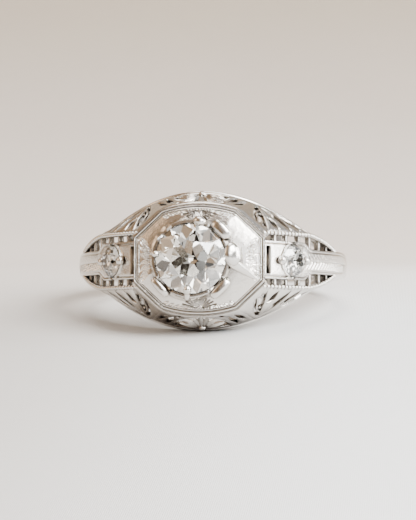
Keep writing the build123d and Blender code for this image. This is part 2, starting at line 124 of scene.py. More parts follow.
RAIL_DROP = 0.12
RAIL_END_TURN = 66.0
RAIL_CLOSING_TURN = 43.0
RAIL_CLOSING = 0.95
LADDER_TURNS = (27.0, 32.5, 39.5, 46.5, 53.5, 60.0)

SHANK_R = FINGER_R + SHANK_THICKNESS
RIM_R = FINGER_R + RIM_THICKNESS
SIDES = (("left", -1), ("right", 1))
LEVELS = (("upper", 1), ("lower", -1))


# Settings -------------------------------------------------------------------


def number_setting(name, description, default):
    """A number that the user can change."""
    return FloatProperty(name=name, description=description, default=default)


def share_setting(name, description, default):
    """A number from 0 to 1 that the user can change."""
    return FloatProperty(name=name, description=description, default=default, min=0, max=1, subtype="FACTOR")


def colour_setting(name, description, default):
    """A colour that the user can change."""
    return FloatVectorProperty(name=name, description=description, default=default, subtype="COLOR")


class RingSettings(PropertyGroup):
    """Detail sizes that don't change the ring's frame."""

    bead_radius: number_setting("Milgrain bead", "Radius of a milgrain bead in mm", 0.165)
    bead_pitch: number_setting("Milgrain pitch", "Distance between milgrain beads in mm", 0.36)
    cut_depth: number_setting("Engraving depth", "Depth of an engraved cut in mm", 0.042)
    cut_width: number_setting("Engraving width", "Half width of an engraved cut in mm", 0.042)
    sheet: number_setting("Sheet", "Thickness of the pierced head walls in mm", 0.336)
    bevel: number_setting("Edge rounding", "Rounding of pierced edges in mm", 0.06)
    band_steps: IntProperty(name="Band steps", description="Stations round the band", default=240, min=48)


class FinishSettings(PropertyGroup):
    """Colours and polish of metal and stones."""

    gold: colour_setting("White gold", "Colour of polished white gold", (0.74, 0.725, 0.7))
    # Painted shade: this near-black colour darkens the gold in its recesses, partly old patina and partly
    # painted shade.
    patina_and_shade: colour_setting("Patina", "Colour of old polish in the recesses", (0.05, 0.034, 0.023))
    polish: share_setting("Polish", "Roughness of polished metal", 0.09)
    stone: colour_setting("Diamond", "Body colour of the stones", (0.99, 0.985, 0.955))
    stone_index: number_setting("Refraction", "Refractive index of the stones", 2.417)


class StageSettings(PropertyGroup):
    """Camera and floor."""

    azimuth: number_setting("Azimuth", "Camera turn in degrees", 5.0)
    elevation: number_setting("Elevation", "Camera height in degrees", -2.5)
    distance: number_setting("Distance", "Camera distance in mm", 180.0)
    aim_right: number_setting("Aim right", "How far the aim is right of the centre, in mm", -0.42)
    aim_up: number_setting("Aim up", "How far the aim is above the centre, in mm", 0.47)
    lens: number_setting("Lens", "Focal length in mm", 171.0)
    floor: colour_setting("Floor", "Colour of the linen on the right", (0.8, 0.825, 0.84))
    # Painted shade: the darker colour of the linen on the left, away from the key light.
    floor_left_shaded: colour_setting("Floor left", "Colour of the linen on the left", (0.53, 0.515, 0.495))
    # Painted light: the brighter colour of the linen just behind the ring.
    horizon_lit: colour_setting("Horizon", "Colour of the linen behind the ring", (0.87, 0.8, 0.735))
    backdrop: colour_setting("Backdrop", "Colour of the raised linen", (0.76, 0.665, 0.54))


# Numbers and curves ---------------------------------------------------------


def unit(vectors):
    """Vectors made 1 long."""
    return vectors / np.linalg.norm(vectors, axis=-1, keepdims=True)


def crosswise(vectors):
    """Flat vectors turned a quarter anticlockwise."""
    return np.stack([-vectors[..., 1], vectors[..., 0]], axis=-1)


def distance_along(points):
    """Distance of each point from the first, measured along their line."""
    return np.concatenate([[0], np.cumsum(np.linalg.norm(np.diff(points, axis=0), axis=1))])


def plan(turn, radius):
    """X and Y of a turn and a distance from the finger hole's axis."""
    angle = np.radians(turn)
    return radius * np.sin(angle), -radius * np.cos(angle)


def smooth(value, low, high):
    """0 below low, 1 above high and an even S between them."""
    share = np.clip((value - low) / (high - low), 0, 1)
    return share * share * (3 - 2 * share)


def rim_half_span(turn):
    """Half the height of the lens outline at a turn."""
    inside = np.minimum(np.abs(turn), RIM_FADE_TURN)
    grown = (RIM_HALF_SPAN - RIM_END_HALF_SPAN) * np.cos(np.radians(90 * inside / RIM_FADE_TURN)) ** 2
    return RIM_END_HALF_SPAN + grown


def shoulder_radius(turn):
    """Top of the shoulder from the finger hole's axis; it sinks into the band behind the leaf."""
    share = (SHOULDER_END_TURN - turn) / (SHOULDER_END_TURN - SHOULDER_START_TURN)
    sunk = (SHOULDER_END_R - SHANK_R + 0.06) * smooth(turn, 62.0, 100.0)
    return SHOULDER_END_R + SHOULDER_RISE * np.maximum(share, 0) ** SHOULDER_POWER - sunk


def rail_half_span(turn):
    """Height of a beaded rail's middle above the ring's mid plane."""
    closing = np.maximum(0.0, (turn - RAIL_CLOSING_TURN) / (RAIL_END_TURN - 1 - RAIL_CLOSING_TURN))
    return RAIL_HALF_SPAN - RAIL_CLOSING * closing ** 1.5


TURN_TABLE = np.linspace(15.0, 105.0, 721)
SHOULDER_LINE = np.stack(plan(TURN_TABLE, shoulder_radius(TURN_TABLE)), axis=1)
RUN_TABLE = distance_along(SHOULDER_LINE)
HEAD_RUN = float(np.interp(HEAD_SIDE_X, SHOULDER_LINE[:, 0][:500], RUN_TABLE[:500]))


def run_at(turn):
    """Distance along the shoulder from the head's side wall."""
    return np.interp(turn, TURN_TABLE, RUN_TABLE) - HEAD_RUN


def turn_at(run):
    """Turn at a distance along the shoulder from the head's side wall."""
    return np.interp(run + HEAD_RUN, RUN_TABLE, TURN_TABLE)


def shoulder_surface(run, height):
    """Points of the shoulder's top; run goes along it and height up the finger hole."""
    turn = turn_at(run)
    x, y = plan(turn, shoulder_radius(turn))
    return np.stack([x, y, height + 0 * run], axis=-1)


def foot_of_wall(turn):
    """Height at which a pierced wall meets the rim."""
    return rim_half_span(turn) - FOOT_INSET


def flank_surface(run, across):
    """Sloping side between the beaded rail, across 0, and the rim, across 1."""
    turn = turn_at(run)
    top_r = shoulder_radius(turn) - RAIL_DROP - RAIL_HEIGHT * 0.4
    fall = RIM_R - 0.1 - top_r
    swell = FLANK_SWELL * np.sin(np.pi * np.clip(across, 0, 1))
    x, y = plan(turn, top_r + fall * across - swell * fall)
    z_top = rail_half_span(turn)
    return np.stack([x, y, z_top + (foot_of_wall(turn) - z_top) * across], axis=-1)


def head_wall(top_x, top_z, foot_x, down):
    """Points of a sloping wall from the head's border, down 0, to the rim, down 1."""
    top = np.stack([top_x, 0 * top_x - HEAD_TOP + FRAME_HEIGHT, top_z], axis=-1)
    foot_turn = np.degrees(np.arcsin(foot_x / (RIM_R - 0.2)))
    foot = np.stack([foot_x, -np.sqrt(RIM_R ** 2 - foot_x ** 2), foot_of_wall(foot_turn)], axis=-1)
    return top + (foot - top) * down[..., None]


def gallery_surface(along, down):
    """Sloping wall above the head; along goes from -1 to 1 and down from the border, 0, to the rim, 1."""
    top_z = HEAD_CORNER_Z + HEAD_BULGE * (1 - along ** 2)
    return head_wall(HEAD_CORNER_X * along, top_z, GALLERY_FOOT_X * along, down)


def corner_surface(along, down):
    """Sloping wall by the head's diagonal edge; along goes from the gallery, 0, to the side wall, 1."""
    top_x = HEAD_CORNER_X + (HEAD_SIDE_X - HEAD_CORNER_X) * along
    top_z = HEAD_CORNER_Z + (HEAD_SIDE_Z - HEAD_CORNER_Z) * along
    return head_wall(top_x, top_z, GALLERY_FOOT_X + (CORNER_FOOT_X - GALLERY_FOOT_X) * along, down)


def lifted(surface, first, second, height):
    """Points of a surface, raised along its outward normal."""
    step = 1e-3
    point = surface(first, second)
    one = surface(first + step, second) - surface(first - step, second)
    two = surface(first, second + step) - surface(first, second - step)
    normal = np.cross(one, two)
    normal /= np.linalg.norm(normal, axis=-1, keepdims=True) + 1e-12
    facing = np.sum(normal * point, axis=-1, keepdims=True)
    normal *= np.where(facing < 0, -1, 1)
    return point + normal * np.asarray(height)[..., None]


# Flat drawing ---------------------------------------------------------------


def leaf(start, end, width, lean=0.0, count=14):
    """Closed outline of a pointed leaf from start to end; lean bends it sideways."""
    start, end = np.array(start, float), np.array(end, float)
    axis = end - start
    across = unit(crosswise(axis))
    share = np.linspace(0, 1, count)
    belly = np.sin(np.pi * share)
    one = start + np.outer(share, axis) + np.outer(belly * (width / 2 + lean), across)
    two = start + np.outer(share, axis) + np.outer(belly * (lean - width / 2), across)
    return np.concatenate([one, two[::-1][1:-1]])


def disc(centre, radius, count):
    """Closed outline of a circle."""
    angle = np.linspace(0, 2 * pi, count, endpoint=False)
    return np.stack([centre[0] + radius * np.cos(angle), centre[1] + radius * np.sin(angle)], axis=1)


def curve(points, count=24):
    """Open curve through a few points."""
    points = np.array(points, float)
    knots = distance_along(points)
    want = np.linspace(0, knots[-1], count)
    padded = np.concatenate([[2 * points[0] - points[1]], points, [2 * points[-1] - points[-2]]])
    out = []
    for value in want:
        k = min(int(np.searchsorted(knots, value, side="right")) - 1, len(points) - 2)
        t = (value - knots[k]) / (knots[k + 1] - knots[k])
        p0, p1, p2, p3 = padded[k:k + 4]
        out.append(
            0.5 * (2 * p1 + (p2 - p0) * t + (2 * p0 - 5 * p1 + 4 * p2 - p3) * t * t
                   + (3 * p1 - p0 - 3 * p2 + p3) * t ** 3)
        )
    return np.array(out)


def resampled(loop, step):
    """A closed outline with its own corners and points about a step apart between them."""
    out = []
    for start, end in zip(loop, np.roll(loop, -1, axis=0)):
        count = max(1, int(round(np.linalg.norm(end - start) / step)))
        out += [start + (end - start) * i / count for i in range(count)]
    return np.array(out)


def segment_distance(points, starts, ends, block=2000):
    """Distance from each point to the nearest of many straight segments."""
    out = np.empty(len(points))
    run = ends - starts
    size = np.sum(run * run, axis=1) + 1e-12
    for first in range(0, len(points), block):
        part = points[first:first + block, None, :]
        share = np.clip(np.sum((part - starts) * run, axis=2) / size, 0, 1)
        near = starts + run * share[..., None]
        out[first:first + block] = np.sqrt(np.min(np.sum((part - near) ** 2, axis=2), axis=1))
    return out


def edge_distance(points, loops):
    """Distance from each point to the nearest of several closed outlines."""
    starts = np.concatenate(loops)
    ends = np.concatenate([np.roll(loop, -1, axis=0) for loop in loops])
    return segment_distance(points, starts, ends)


def stroke_distance(points, strokes):
    """Distance from each point to the nearest of several open strokes."""
    starts = np.concatenate([stroke[:-1] for stroke in strokes])
    ends = np.concatenate([stroke[1:] for stroke in strokes])
    return segment_distance(points, starts, ends)


def inside(points, loop):
    """Which points lie inside a closed outline."""
    found = np.zeros(len(points), bool)
    x, y = points[:, 0], points[:, 1]
    for (x1, y1), (x2, y2) in zip(loop, np.roll(loop, -1, axis=0)):
        if y1 == y2:
            continue
        crosses = (y1 > y) != (y2 > y)
        found ^= crosses & (x < (x2 - x1) * (y - y1) / (y2 - y1) + x1)
    return found


# Mesh building --------------------------------------------------------------


def flipped(faces):
    """Faces that look the other way."""
    return [face[::-1] for face in faces]


class Shape:
    """Points and faces of one piece, in millimetres."""

    def __init__(self):
        self.points = []
        self.faces = []

    def add(self, points, faces):
        """Adds a part with its own numbering."""
        first = len(self.points)
        self.points += [tuple(p) for p in np.asarray(points, float)]
        self.faces += [[first + i for i in face] for face in faces]
        return self

    def include(self, other, side=1, level=1):
        """Adds another shape, mirrored to a side and a level."""
        points = np.array(other.points) * (side, 1, level)
        turned = flipped(other.faces) if side * level < 0 else other.faces
        return self.add(points, turned)


def make_object(name, shape, slot, replaced, sharp=32.0):
    """Turns a shape into a piece that rides on the ring and stands for some of its nodes."""
    mesh = bpy.data.meshes.new(name)
    mesh.from_pydata((np.array(shape.points) * MM).tolist(), [], shape.faces)
    mesh.validate()
    mesh.shade_smooth()
    mesh.set_sharp_from_angle(angle=radians(sharp))
    mesh.materials.append(look_of(slot))
    piece = bpy.data.objects.new(name, mesh)
    bpy.context.scene.collection.objects.link(piece)
    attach(piece, "root")
    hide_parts(*replaced)


def strip_faces(rows, columns, closed_rows=False, closed_columns=False):
    """Faces of a grid of points that is stored row by row."""
    faces = []
    for row in range(rows if closed_rows else rows - 1):
        after = (row + 1) % rows
        for column in range(columns if closed_columns else columns - 1):
            beside = (column + 1) % columns
            here, there = row * columns, after * columns
            faces.append([here + column, here + beside, there + beside, there + column])
    return faces


def tube_faces(rows, around):
    """Faces of a closed tube: its strip and its two ends."""
    last = (rows - 1) * around
    ends = [list(range(around))[::-1], list(range(last, last + around))]
    return strip_faces(rows, around, closed_columns=True) + ends


def sweep(shape, path, up, section, girth=None):
    """Adds a bar of a given section along a path; section runs along (up, sideways)."""
    path = np.asarray(path, float)
    ahead = unit(np.gradient(path, axis=0))
    up = np.broadcast_to(np.asarray(up, float), path.shape)
    normal = unit(up - ahead * np.sum(up * ahead, axis=1, keepdims=True))
    beside = np.cross(ahead, normal)
    girth = np.ones(len(path)) if girth is None else girth
    drawn = girth[:, None, None] * np.array(section, float)
    points = path[:, None] + drawn[..., :1] * normal[:, None] + drawn[..., 1:] * beside[:, None]
    return shape.add(points.reshape(-1, 3), tube_faces(len(path), len(section)))


def rounded_section(tall, wide, corners, count=4):
    """Rectangle with rounded corners of one or of four radii, counted so that swept faces look outwards."""
    points = []
    quarters = ((1, 1), (-1, 1), (-1, -1), (1, -1))
    for quarter, ((a, b), corner) in enumerate(zip(quarters, np.broadcast_to(corners, 4))):
        for i in range(count + 1):
            angle = (quarter + i / count) * pi / 2
            x = a * (tall / 2 - corner) + corner * cos(angle)
            y = b * (wide / 2 - corner) + corner * sin(angle)
            points.append((x, y))
    return points


def add_lump(shape, centre, axes, power=2.0, around=16, rings=10):
    """Adds a closed rounded lump; axes are three half-axis vectors, and a power above 2 squares it."""
    centre, axes = np.asarray(centre, float), np.asarray(axes, float)
    rows = np.linspace(-pi / 2, pi / 2, rings + 1)[1:-1]
    turns = np.linspace(0, 2 * pi, around, endpoint=False)
    bend = 2.0 / power

    def soft(value):
        return np.sign(value) * np.abs(value) ** bend

    local = [
        [soft(cos(r)) * soft(cos(t)), soft(cos(r)) * soft(sin(t)), soft(sin(r))]
        for r in rows
        for t in turns
    ]
    local = np.array([*local, [0, 0, -1], [0, 0, 1]])
    points = centre + local @ axes
    faces = strip_faces(len(rows), around, closed_columns=True)
    bottom, top = len(local) - 2, len(local) - 1
    last = (len(rows) - 1) * around
    for i in range(around):
        after = (i + 1) % around
        faces.append([after, i, bottom])
        faces.append([last + i, last + after, top])
    return shape.add(points, flipped(faces) if np.linalg.det(axes) < 0 else faces)


def add_beads(shape, points, normals, radius):
    """Adds milgrain beads that sit half sunk on a line."""
    for point, normal in zip(points, normals):
        normal = unit(np.array(normal))
        side = unit(np.cross(normal, (0.3, 0.5, 0.8)))
        axes = np.array([side, np.cross(normal, side), normal]) * radius
        add_lump(shape, point, axes, around=10, rings=7)
    return shape


def spaced(path, pitch):
    """Points along an open path at an even distance."""
    path = np.asarray(path, float)
    knots = distance_along(path)
    count = max(2, int(round(knots[-1] / pitch)))
    want = (np.arange(count) + 0.5) * knots[-1] / count
    return np.stack([np.interp(want, knots, path[:, i]) for i in range(path.shape[1])], axis=1)


def sheet_net(outline, holes, spacing, bevel):
    """Triangles of a pierced sheet: flat points, their distance to an edge, and the faces."""
    loops = [resampled(np.asarray(loop, float), spacing) for loop in [outline, *holes]]
    low, high = loops[0].min(axis=0), loops[0].max(axis=0)
    nx, ny = (int((high[i] - low[i]) / spacing) + 1 for i in range(2))
    gx, gy = np.meshgrid(np.arange(nx), np.arange(ny))
    shifted = gx + 0.5 * (gy % 2)
    grid = np.stack([low[0] + shifted * spacing, low[1] + (gy + 0.5) * spacing], axis=-1).reshape(-1, 2)
    rings = []
    for loop in loops:
        ahead = np.roll(loop, -1, axis=0) - np.roll(loop, 1, axis=0)
        ahead /= np.linalg.norm(ahead, axis=1, keepdims=True) + 1e-12
        across = np.stack([-ahead[:, 1], ahead[:, 0]], axis=1)
        for share in (0.35, 1.0):
            rings += [loop + across * bevel * share, loop - across * bevel * share]
    rings = np.concatenate(rings)
    far = edge_distance(rings, loops)
    on_ring = (np.abs(far - bevel) < 0.08 * bevel) | (np.abs(far - 0.35 * bevel) < 0.08 * bevel)
    rings = rings[on_ring]
    far = edge_distance(grid, loops)
    grid = grid[far > bevel + 0.45 * spacing]
    loose = np.concatenate([rings, grid])
    keep = inside(loose, loops[0])
    for loop in loops[1:]:
        keep &= ~inside(loose, loop)
    loose = loose[keep]
    edge_points = np.concatenate(loops)
    edges, first = [], 0
    for loop in loops:
        edges += [(first + i, first + (i + 1) % len(loop)) for i in range(len(loop))]
        first += len(loop)
    given = [Vector(p) for p in np.concatenate([edge_points, loose])]
    found, _, faces, _, _, _ = delaunay_2d_cdt(given, edges, [], 0, 1e-7)
    points = np.array([(p.x, p.y) for p in found])
    faces = np.array(faces)
    middle = points[faces].mean(axis=1)
    keep = inside(middle, loops[0])
    for loop in loops[1:]:
        keep &= ~inside(middle, loop)
    faces = faces[keep]
    used, faces = np.unique(faces, return_inverse=True)
    points = points[used]
    return points, edge_distance(points, loops), faces.reshape(-1, 3)


def sheet_shape(
    surface, outline, holes, thickness, bevel, spacing=0.085, carve=None, to_surface=None, bulge=0.0
):
    """Pierced sheet that is drawn flat and wrapped on a surface; carve gives extra height."""
    flat, far, faces = sheet_net(outline, holes, spacing, bevel)
    fall = bevel * (1 - np.sqrt(np.clip(1 - (1 - np.minimum(far / bevel, 1)) ** 2, 0, 1)))
    top = thickness / 2 - fall + bulge * np.minimum(far, 4 * bevel)
    if carve is not None:
        top = top + carve(flat, far)
    first, second = to_surface(flat) if to_surface else (flat[:, 0], flat[:, 1])
    upper = lifted(surface, first, second, top)
    lower = lifted(surface, first, second, fall - thickness / 2)
    count = len(flat)
    a, b, c = (upper[faces[:, i]] for i in range(3))
    facing = np.sum(np.cross(b - a, c - a) * (upper - lower)[faces[:, 0]], axis=1)
    if np.median(facing) < 0:
        faces = faces[:, ::-1]
    edges = np.concatenate([faces[:, [0, 1]], faces[:, [1, 2]], faces[:, [2, 0]]])
    known = set(map(tuple, edges.tolist()))
    rim = [(a, b) for a, b in known if (b, a) not in known]
    made = faces.tolist() + (faces[:, ::-1] + count).tolist() + [[b, a, a + count, b + count] for a, b in rim]
    return Shape().add(np.concatenate([upper, lower]), made)


def cut(distance, width, depth):
    """Height of a V-shaped engraved cut at a distance from its middle."""
    return -depth * np.clip(1 - distance / width, 0, 1)


# Shader building ------------------------------------------------------------


class Socket:
    """A node's output that Python's operators turn into Math nodes."""

    def __init__(self, finish, output):
        self.finish = finish
        self.output = output

    def math(self, operation, first, second=0.0):
        return self.finish.node("ShaderNodeMath", {"operation": operation}, {0: first, 1: second})

    def __add__(self, other):
        return self.math("ADD", self, other)

    def __radd__(self, other):
        return self.math("ADD", other, self)

    def __sub__(self, other):
        return self.math("SUBTRACT", self, other)

    def __rsub__(self, other):
        return self.math("SUBTRACT", other, self)

    def __mul__(self, other):
        return self.math("MULTIPLY", self, other)

    def __rmul__(self, other):
        return self.math("MULTIPLY", other, self)

    def __truediv__(self, other):
        return self.math("DIVIDE", self, other)

    def __pow__(self, other):
        return self.math("POWER", self, other)


class Finish:
    """A material or a world while its nodes are being made."""

    def __init__(self, owner, ending="ShaderNodeOutputMaterial"):
        owner.use_nodes = True
        self.owner = owner
        self.ending = ending
        self.tree = owner.node_tree
        self.tree.nodes.clear()

    def node(self, kind, settings=None, sockets=None, out=0):
        """Makes a node: its settings first, then the values or links of its sockets."""
        made = self.tree.nodes.new(kind)
        for name, value in (settings or {}).items():
            setattr(made, name, value)
        for name, value in (sockets or {}).items():
            target = made.inputs[name]
            if isinstance(value, Socket):
                self.tree.links.new(value.output, target)
            elif target.type == "RGBA" and len(value) == 3:
                target.default_value = (*value, 1)
            else:
                target.default_value = value
        return Socket(self, made.outputs[out])

    def mixed(self, factor, first, second):
        """Colour between two colours."""
        return self.node("ShaderNodeMix", {"data_type": "RGBA"}, {0: factor, 6: first, 7: second}, out=2)

    def place(self, stretch=(1.0, 1.0, 1.0)):
        """Coordinates in millimetres."""
        where = self.node("ShaderNodeTexCoord", out="Object")
        scale = tuple(s / MM for s in stretch)
        return self.node("ShaderNodeMapping", None, {"Vector": where, "Scale": scale})

    def noise(self, size, detail=3.0, stretch=(1.0, 1.0, 1.0)):
        """Soft noise whose lumps are about size millimetres."""
        sockets = {"Vector": self.place(stretch), "Scale": 1.0 / size, "Detail": detail}
        return self.node("ShaderNodeTexNoise", None, sockets)

    def ramp(self, value, low, high):
        """0 below low, 1 above high and an even S between them."""
        sockets = {"Value": value, "From Min": low, "From Max": high}
        return self.node("ShaderNodeMapRange", {"interpolation_type": "SMOOTHSTEP"}, sockets)

    def axis(self, vector, name):
        """One coordinate of a vector."""
        return self.node("ShaderNodeSeparateXYZ", None, {"Vector": vector}, out=name)

    def ended(self, shader):
        """Ends the material or the world with a shader."""
        last = self.tree.nodes.new(self.ending)
        self.tree.links.new(shader.output, last.inputs["Surface"])
        return self.owner


GOLDS = {
    # roughness above the polish, reach of the painted shade and patina in the recesses in mm, scratches,
    # warmth, waviness of a worn surface
    "polished_gold": (0.0, 0.5, 0.5, 0.0, 3.0),
    "engraved_gold": (0.03, 0.6, 0.8, 0.015, 5.0),
    "pierced_gold": (0.04, 2.2, 0.9, 0.02, 5.0),
    "milgrain_gold": (0.02, 0.4, 0.5, 0.0, 3.0),
    "satin_gold": (0.19, 2.5, 1.5, 0.02, 3.0),
}


def gold_look(made, slot):
    """White gold with fine handling marks, a surface worn slightly wavy, and recesses darkened by painted
    shade together with old patina.
    """
    look = bpy.context.scene.ring_finish
    dulled, patina_and_shade_reach, scratch, warmth, wear = GOLDS[slot]
    cloudy = made.noise(1.4, 4.0)
    fine = made.noise(0.05, 2.0, (1.0, 1.0, 6.0))
    reach = {"Distance": patina_and_shade_reach * MM}
    # Painted shade: ambient occlusion mixes the base colour towards the dark patina-and-shade colour in
    # recesses, so they carry painted shade together with old patina.
    hidden = made.node("ShaderNodeAmbientOcclusion", {"samples": 8}, reach, out="AO")
    open_share = made.node("ShaderNodeMapRange", None, {"Value": hidden, "From Min": 0.2, "From Max": 0.85})
    red, green, blue = look.gold
    warm = (red, green * (0.97 - warmth), blue * (0.92 - 2 * warmth))
    tinted = made.mixed(cloudy, (red, green, blue), warm)
    tinted = made.mixed(open_share, tuple(look.patina_and_shade), tinted)
    rough = look.polish + dulled + (cloudy - 0.5) * 0.06 + (1 - open_share) * 0.18
    ripple = made.noise(0.5, 2.0)
    height = fine * scratch + cloudy * (scratch * 2) + ripple * wear
    bump = made.node("ShaderNodeBump", None, {"Strength": 0.3, "Distance": 0.02 * MM, "Height": height})
    sockets = {"Base Color": tinted, "Metallic": 1.0, "Roughness": rough, "Normal": bump}
    return made.node("ShaderNodeBsdfPrincipled", None, sockets)


def diamond_look(made):
    """Clear stone: refraction with a faint body tint that varies slowly."""
    look = bpy.context.scene.ring_finish
    red, green, blue = look.stone
    tinted = made.mixed(made.noise(1.1, 2.0), (red, green, blue), (red, green * 0.99, blue * 0.93))
    sockets = {"Base Color": tinted, "Roughness": 0.0, "IOR": look.stone_index, "Transmission Weight": 1.0}
    return made.node("ShaderNodeBsdfPrincipled", None, sockets)


def look_of(slot):
    """Material of a slot, made once."""
    name = f"{slot}_look"
    found = bpy.data.materials.get(name)
    if found:
        return found
    made = Finish(bpy.data.materials.new(name))
    return made.ended(gold_look(made, slot) if slot in GOLDS else diamond_look(made))


# Band -----------------------------------------------------------------------


def band_shape(settings):
    """Rounded band that is open under the head."""
    turns = np.linspace(SHANK_FRONT_TURN, 360 - SHANK_FRONT_TURN, settings.band_steps)
    middle = FINGER_R + SHANK_THICKNESS / 2
    x, y = plan(turns, middle)
    path = np.stack([x, y, 0 * x], axis=1)
    corners = (SHANK_EDGE_R, SHANK_INNER_EDGE_R, SHANK_INNER_EDGE_R, SHANK_EDGE_R)
    return sweep(Shape(), path, path, rounded_section(SHANK_THICKNESS, SHANK_WIDTH, corners, 8))


def rim_shape(level):
    """Edge of the lens outline on the finger; it fades into the band."""
    turns = np.linspace(-RIM_FADE_TURN, RIM_FADE_TURN, 165)
    middle = (FINGER_R + RIM_R) / 2
    x, y = plan(turns, middle)
    z = rim_half_span(turns) - RIM_WIDTH / 2
    path = np.stack([x, y, z], axis=1)
    made = sweep(Shape(), path, path * (1, 1, 0), rounded_section(RIM_THICKNESS, RIM_WIDTH, 0.13))
    return Shape().include(made, 1, level)


# Head -----------------------------------------------------------------------


def octagon(step=0.12):
    """Head outline in X and Z, counted anticlockwise from the lower right corner."""
    reach = np.arcsin(HEAD_CORNER_X / HEAD_ARC_R)
    angle = np.linspace(reach, -reach, 49)
    arc = np.stack([HEAD_ARC_R * np.sin(angle), HEAD_ARC_Z + HEAD_ARC_R * np.cos(angle)], axis=1)
    side = np.array([[HEAD_SIDE_X, -HEAD_SIDE_Z], [HEAD_SIDE_X, HEAD_SIDE_Z]])
    return resampled(np.concatenate([side, arc, -side, -arc]), step)


def inset_loop(loop, amount):
    """An anticlockwise outline moved inwards, with mitred corners."""
    one = crosswise(unit(loop - np.roll(loop, 1, axis=0)))
    two = crosswise(unit(np.roll(loop, -1, axis=0) - loop))
    mitre = (one + two) / (1 + np.sum(one * two, axis=1, keepdims=True))
    return loop + mitre * amount


def head_point(flat, height):
    """Points over the head from X, Z and the height above the finger hole's axis."""
    flat = np.asarray(flat, float)
    return np.stack([flat[..., 0], -np.broadcast_to(height, flat[..., 0].shape), flat[..., 1]], axis=-1)


def frame_shape():
    """Octagonal border with two lips and a groove."""
    foot = HEAD_TOP - FRAME_HEIGHT
    top = HEAD_TOP
    section = (
        (0.0, foot), (0.0, foot + 0.1), (0.04, foot + 0.16), (0.04, top - 0.18), (0.0, top - 0.12),
        (0.0, top - 0.04), (0.02, top - 0.015), (0.05, top - 0.01), (0.08, top - 0.02), (0.1, top - 0.05),
        (0.12, top - 0.075), (0.15, top - 0.075), (0.17, top - 0.05), (0.19, top - 0.02), (0.22, top),
        (0.26, top), (BORDER + 0.02, top - 0.03), (FRAME_WIDTH, top - 0.3), (FRAME_WIDTH, foot),
    )
    outline = octagon()
    loops = [head_point(inset_loop(outline, inwards), height) for inwards, height in section]
    points = np.concatenate(loops)
    faces = strip_faces(len(section), len(outline), closed_rows=True, closed_columns=True)
    shape = Shape().add(points, faces)
    lip = inset_loop(outline, BORDER + 0.05)
    for level in (1, -1):
        row = lip[(np.abs(lip[:, 0] - 0.05) < 0.95) & (lip[:, 1] * level > 0)]
        row = spaced(row[np.argsort(row[:, 0])], 0.2)
        add_beads(shape, head_point(row, HEAD_TOP + 0.02), [(0, -1, 0)] * len(row), 0.078)
    return shape


def plate_field(flat):
    """Distance in from the border for each of the head's eight edges, as columns."""
    x, z = flat[..., 0], flat[..., 1]
    diagonal = np.array([HEAD_SIDE_X - HEAD_CORNER_X, HEAD_SIDE_Z - HEAD_CORNER_Z])
    normal = crosswise(unit(diagonal))
    reach = HEAD_CORNER_X * normal[0] + HEAD_CORNER_Z * normal[1]
    columns = [HEAD_SIDE_X - x, HEAD_SIDE_X + x]
    for level in (1, -1):
        columns.append(HEAD_ARC_R - np.hypot(x, level * z - HEAD_ARC_Z))
        for side in (1, -1):
            columns.append(reach - (side * x * normal[0] + level * z * normal[1]))
    return np.stack(columns, axis=-1) - BORDER


END_LEAVES = (
    # foot, tip and width of the engraved leaves beside the right end, upper ones
    ((3.3, 0.06), (4.0, 0.34), 0.24),
    ((3.3, 0.3), (3.98, 0.82), 0.22),
    ((3.36, 0.62), (3.96, 1.22), 0.2),
    ((3.5, 1.02), (3.9, 1.42), 0.14),
)


def plate_strokes():
    """Fine engraved lines of the head plate, in X and Z."""
    leaves = [(*leaf_sizes, True) for leaf_sizes in END_LEAVES]
    for k in range(5):
        x, z = 0.62 + 0.36 * k, 3.4 - 0.022 * k * k
        leaves.append(((x, z - 0.2), (x + 0.42, z - 0.02), 0.15, False))
    strokes = [np.array([(side * 4.06, -1.36), (side * 4.06, 1.36)]) for side in (1, -1)]
    for start, end, width, has_midrib in leaves:
        for mirror in ((1, 1), (1, -1), (-1, 1), (-1, -1)):
            foot, tip = np.multiply(start, mirror), np.multiply(end, mirror)
            loop = leaf(foot, tip, width)
            strokes.append(np.concatenate([loop, loop[:1]]))
            if has_midrib:
                strokes.append(np.array([foot, tip]))
    return strokes


def sunburst():
    """Deeper rays at the middle of the head's upper and lower edges, in X and Z."""
    rays = []
    for level in (1, -1):
        for k in range(-6, 7):
            angle = radians(k * 12.5)
            way = np.array([sin(angle), -level * cos(angle)])
            foot = np.array([0.05, level * 3.36])
            rays.append(np.array([foot + 0.2 * way, foot + (0.68 + 0.014 * k * k) * way]))
    return rays


def plate_height(flat, settings):
    """Height of the head plate: a flat engraved band, then facets that rise to the stone."""
    edge = plate_field(flat)
    nearest = edge.min(axis=-1)
    rise = PLATE_RISE * (1 - np.exp(-PLATE_SLOPE / PLATE_RISE * np.maximum(nearest, 0)))
    return HEAD_TOP - 0.03 + rise + plate_cuts(flat, settings)


def plate_cuts(flat, settings):
    """Engraved cuts on the head plate."""
    points = flat.reshape(-1, 2)
    fine = cut(stroke_distance(points, plate_strokes()), settings.cut_width, settings.cut_depth)
    deep = cut(stroke_distance(points, sunburst()), settings.cut_width * 1.6, settings.cut_depth * 2.2)
    return np.minimum(fine, deep).reshape(flat.shape[:-1])


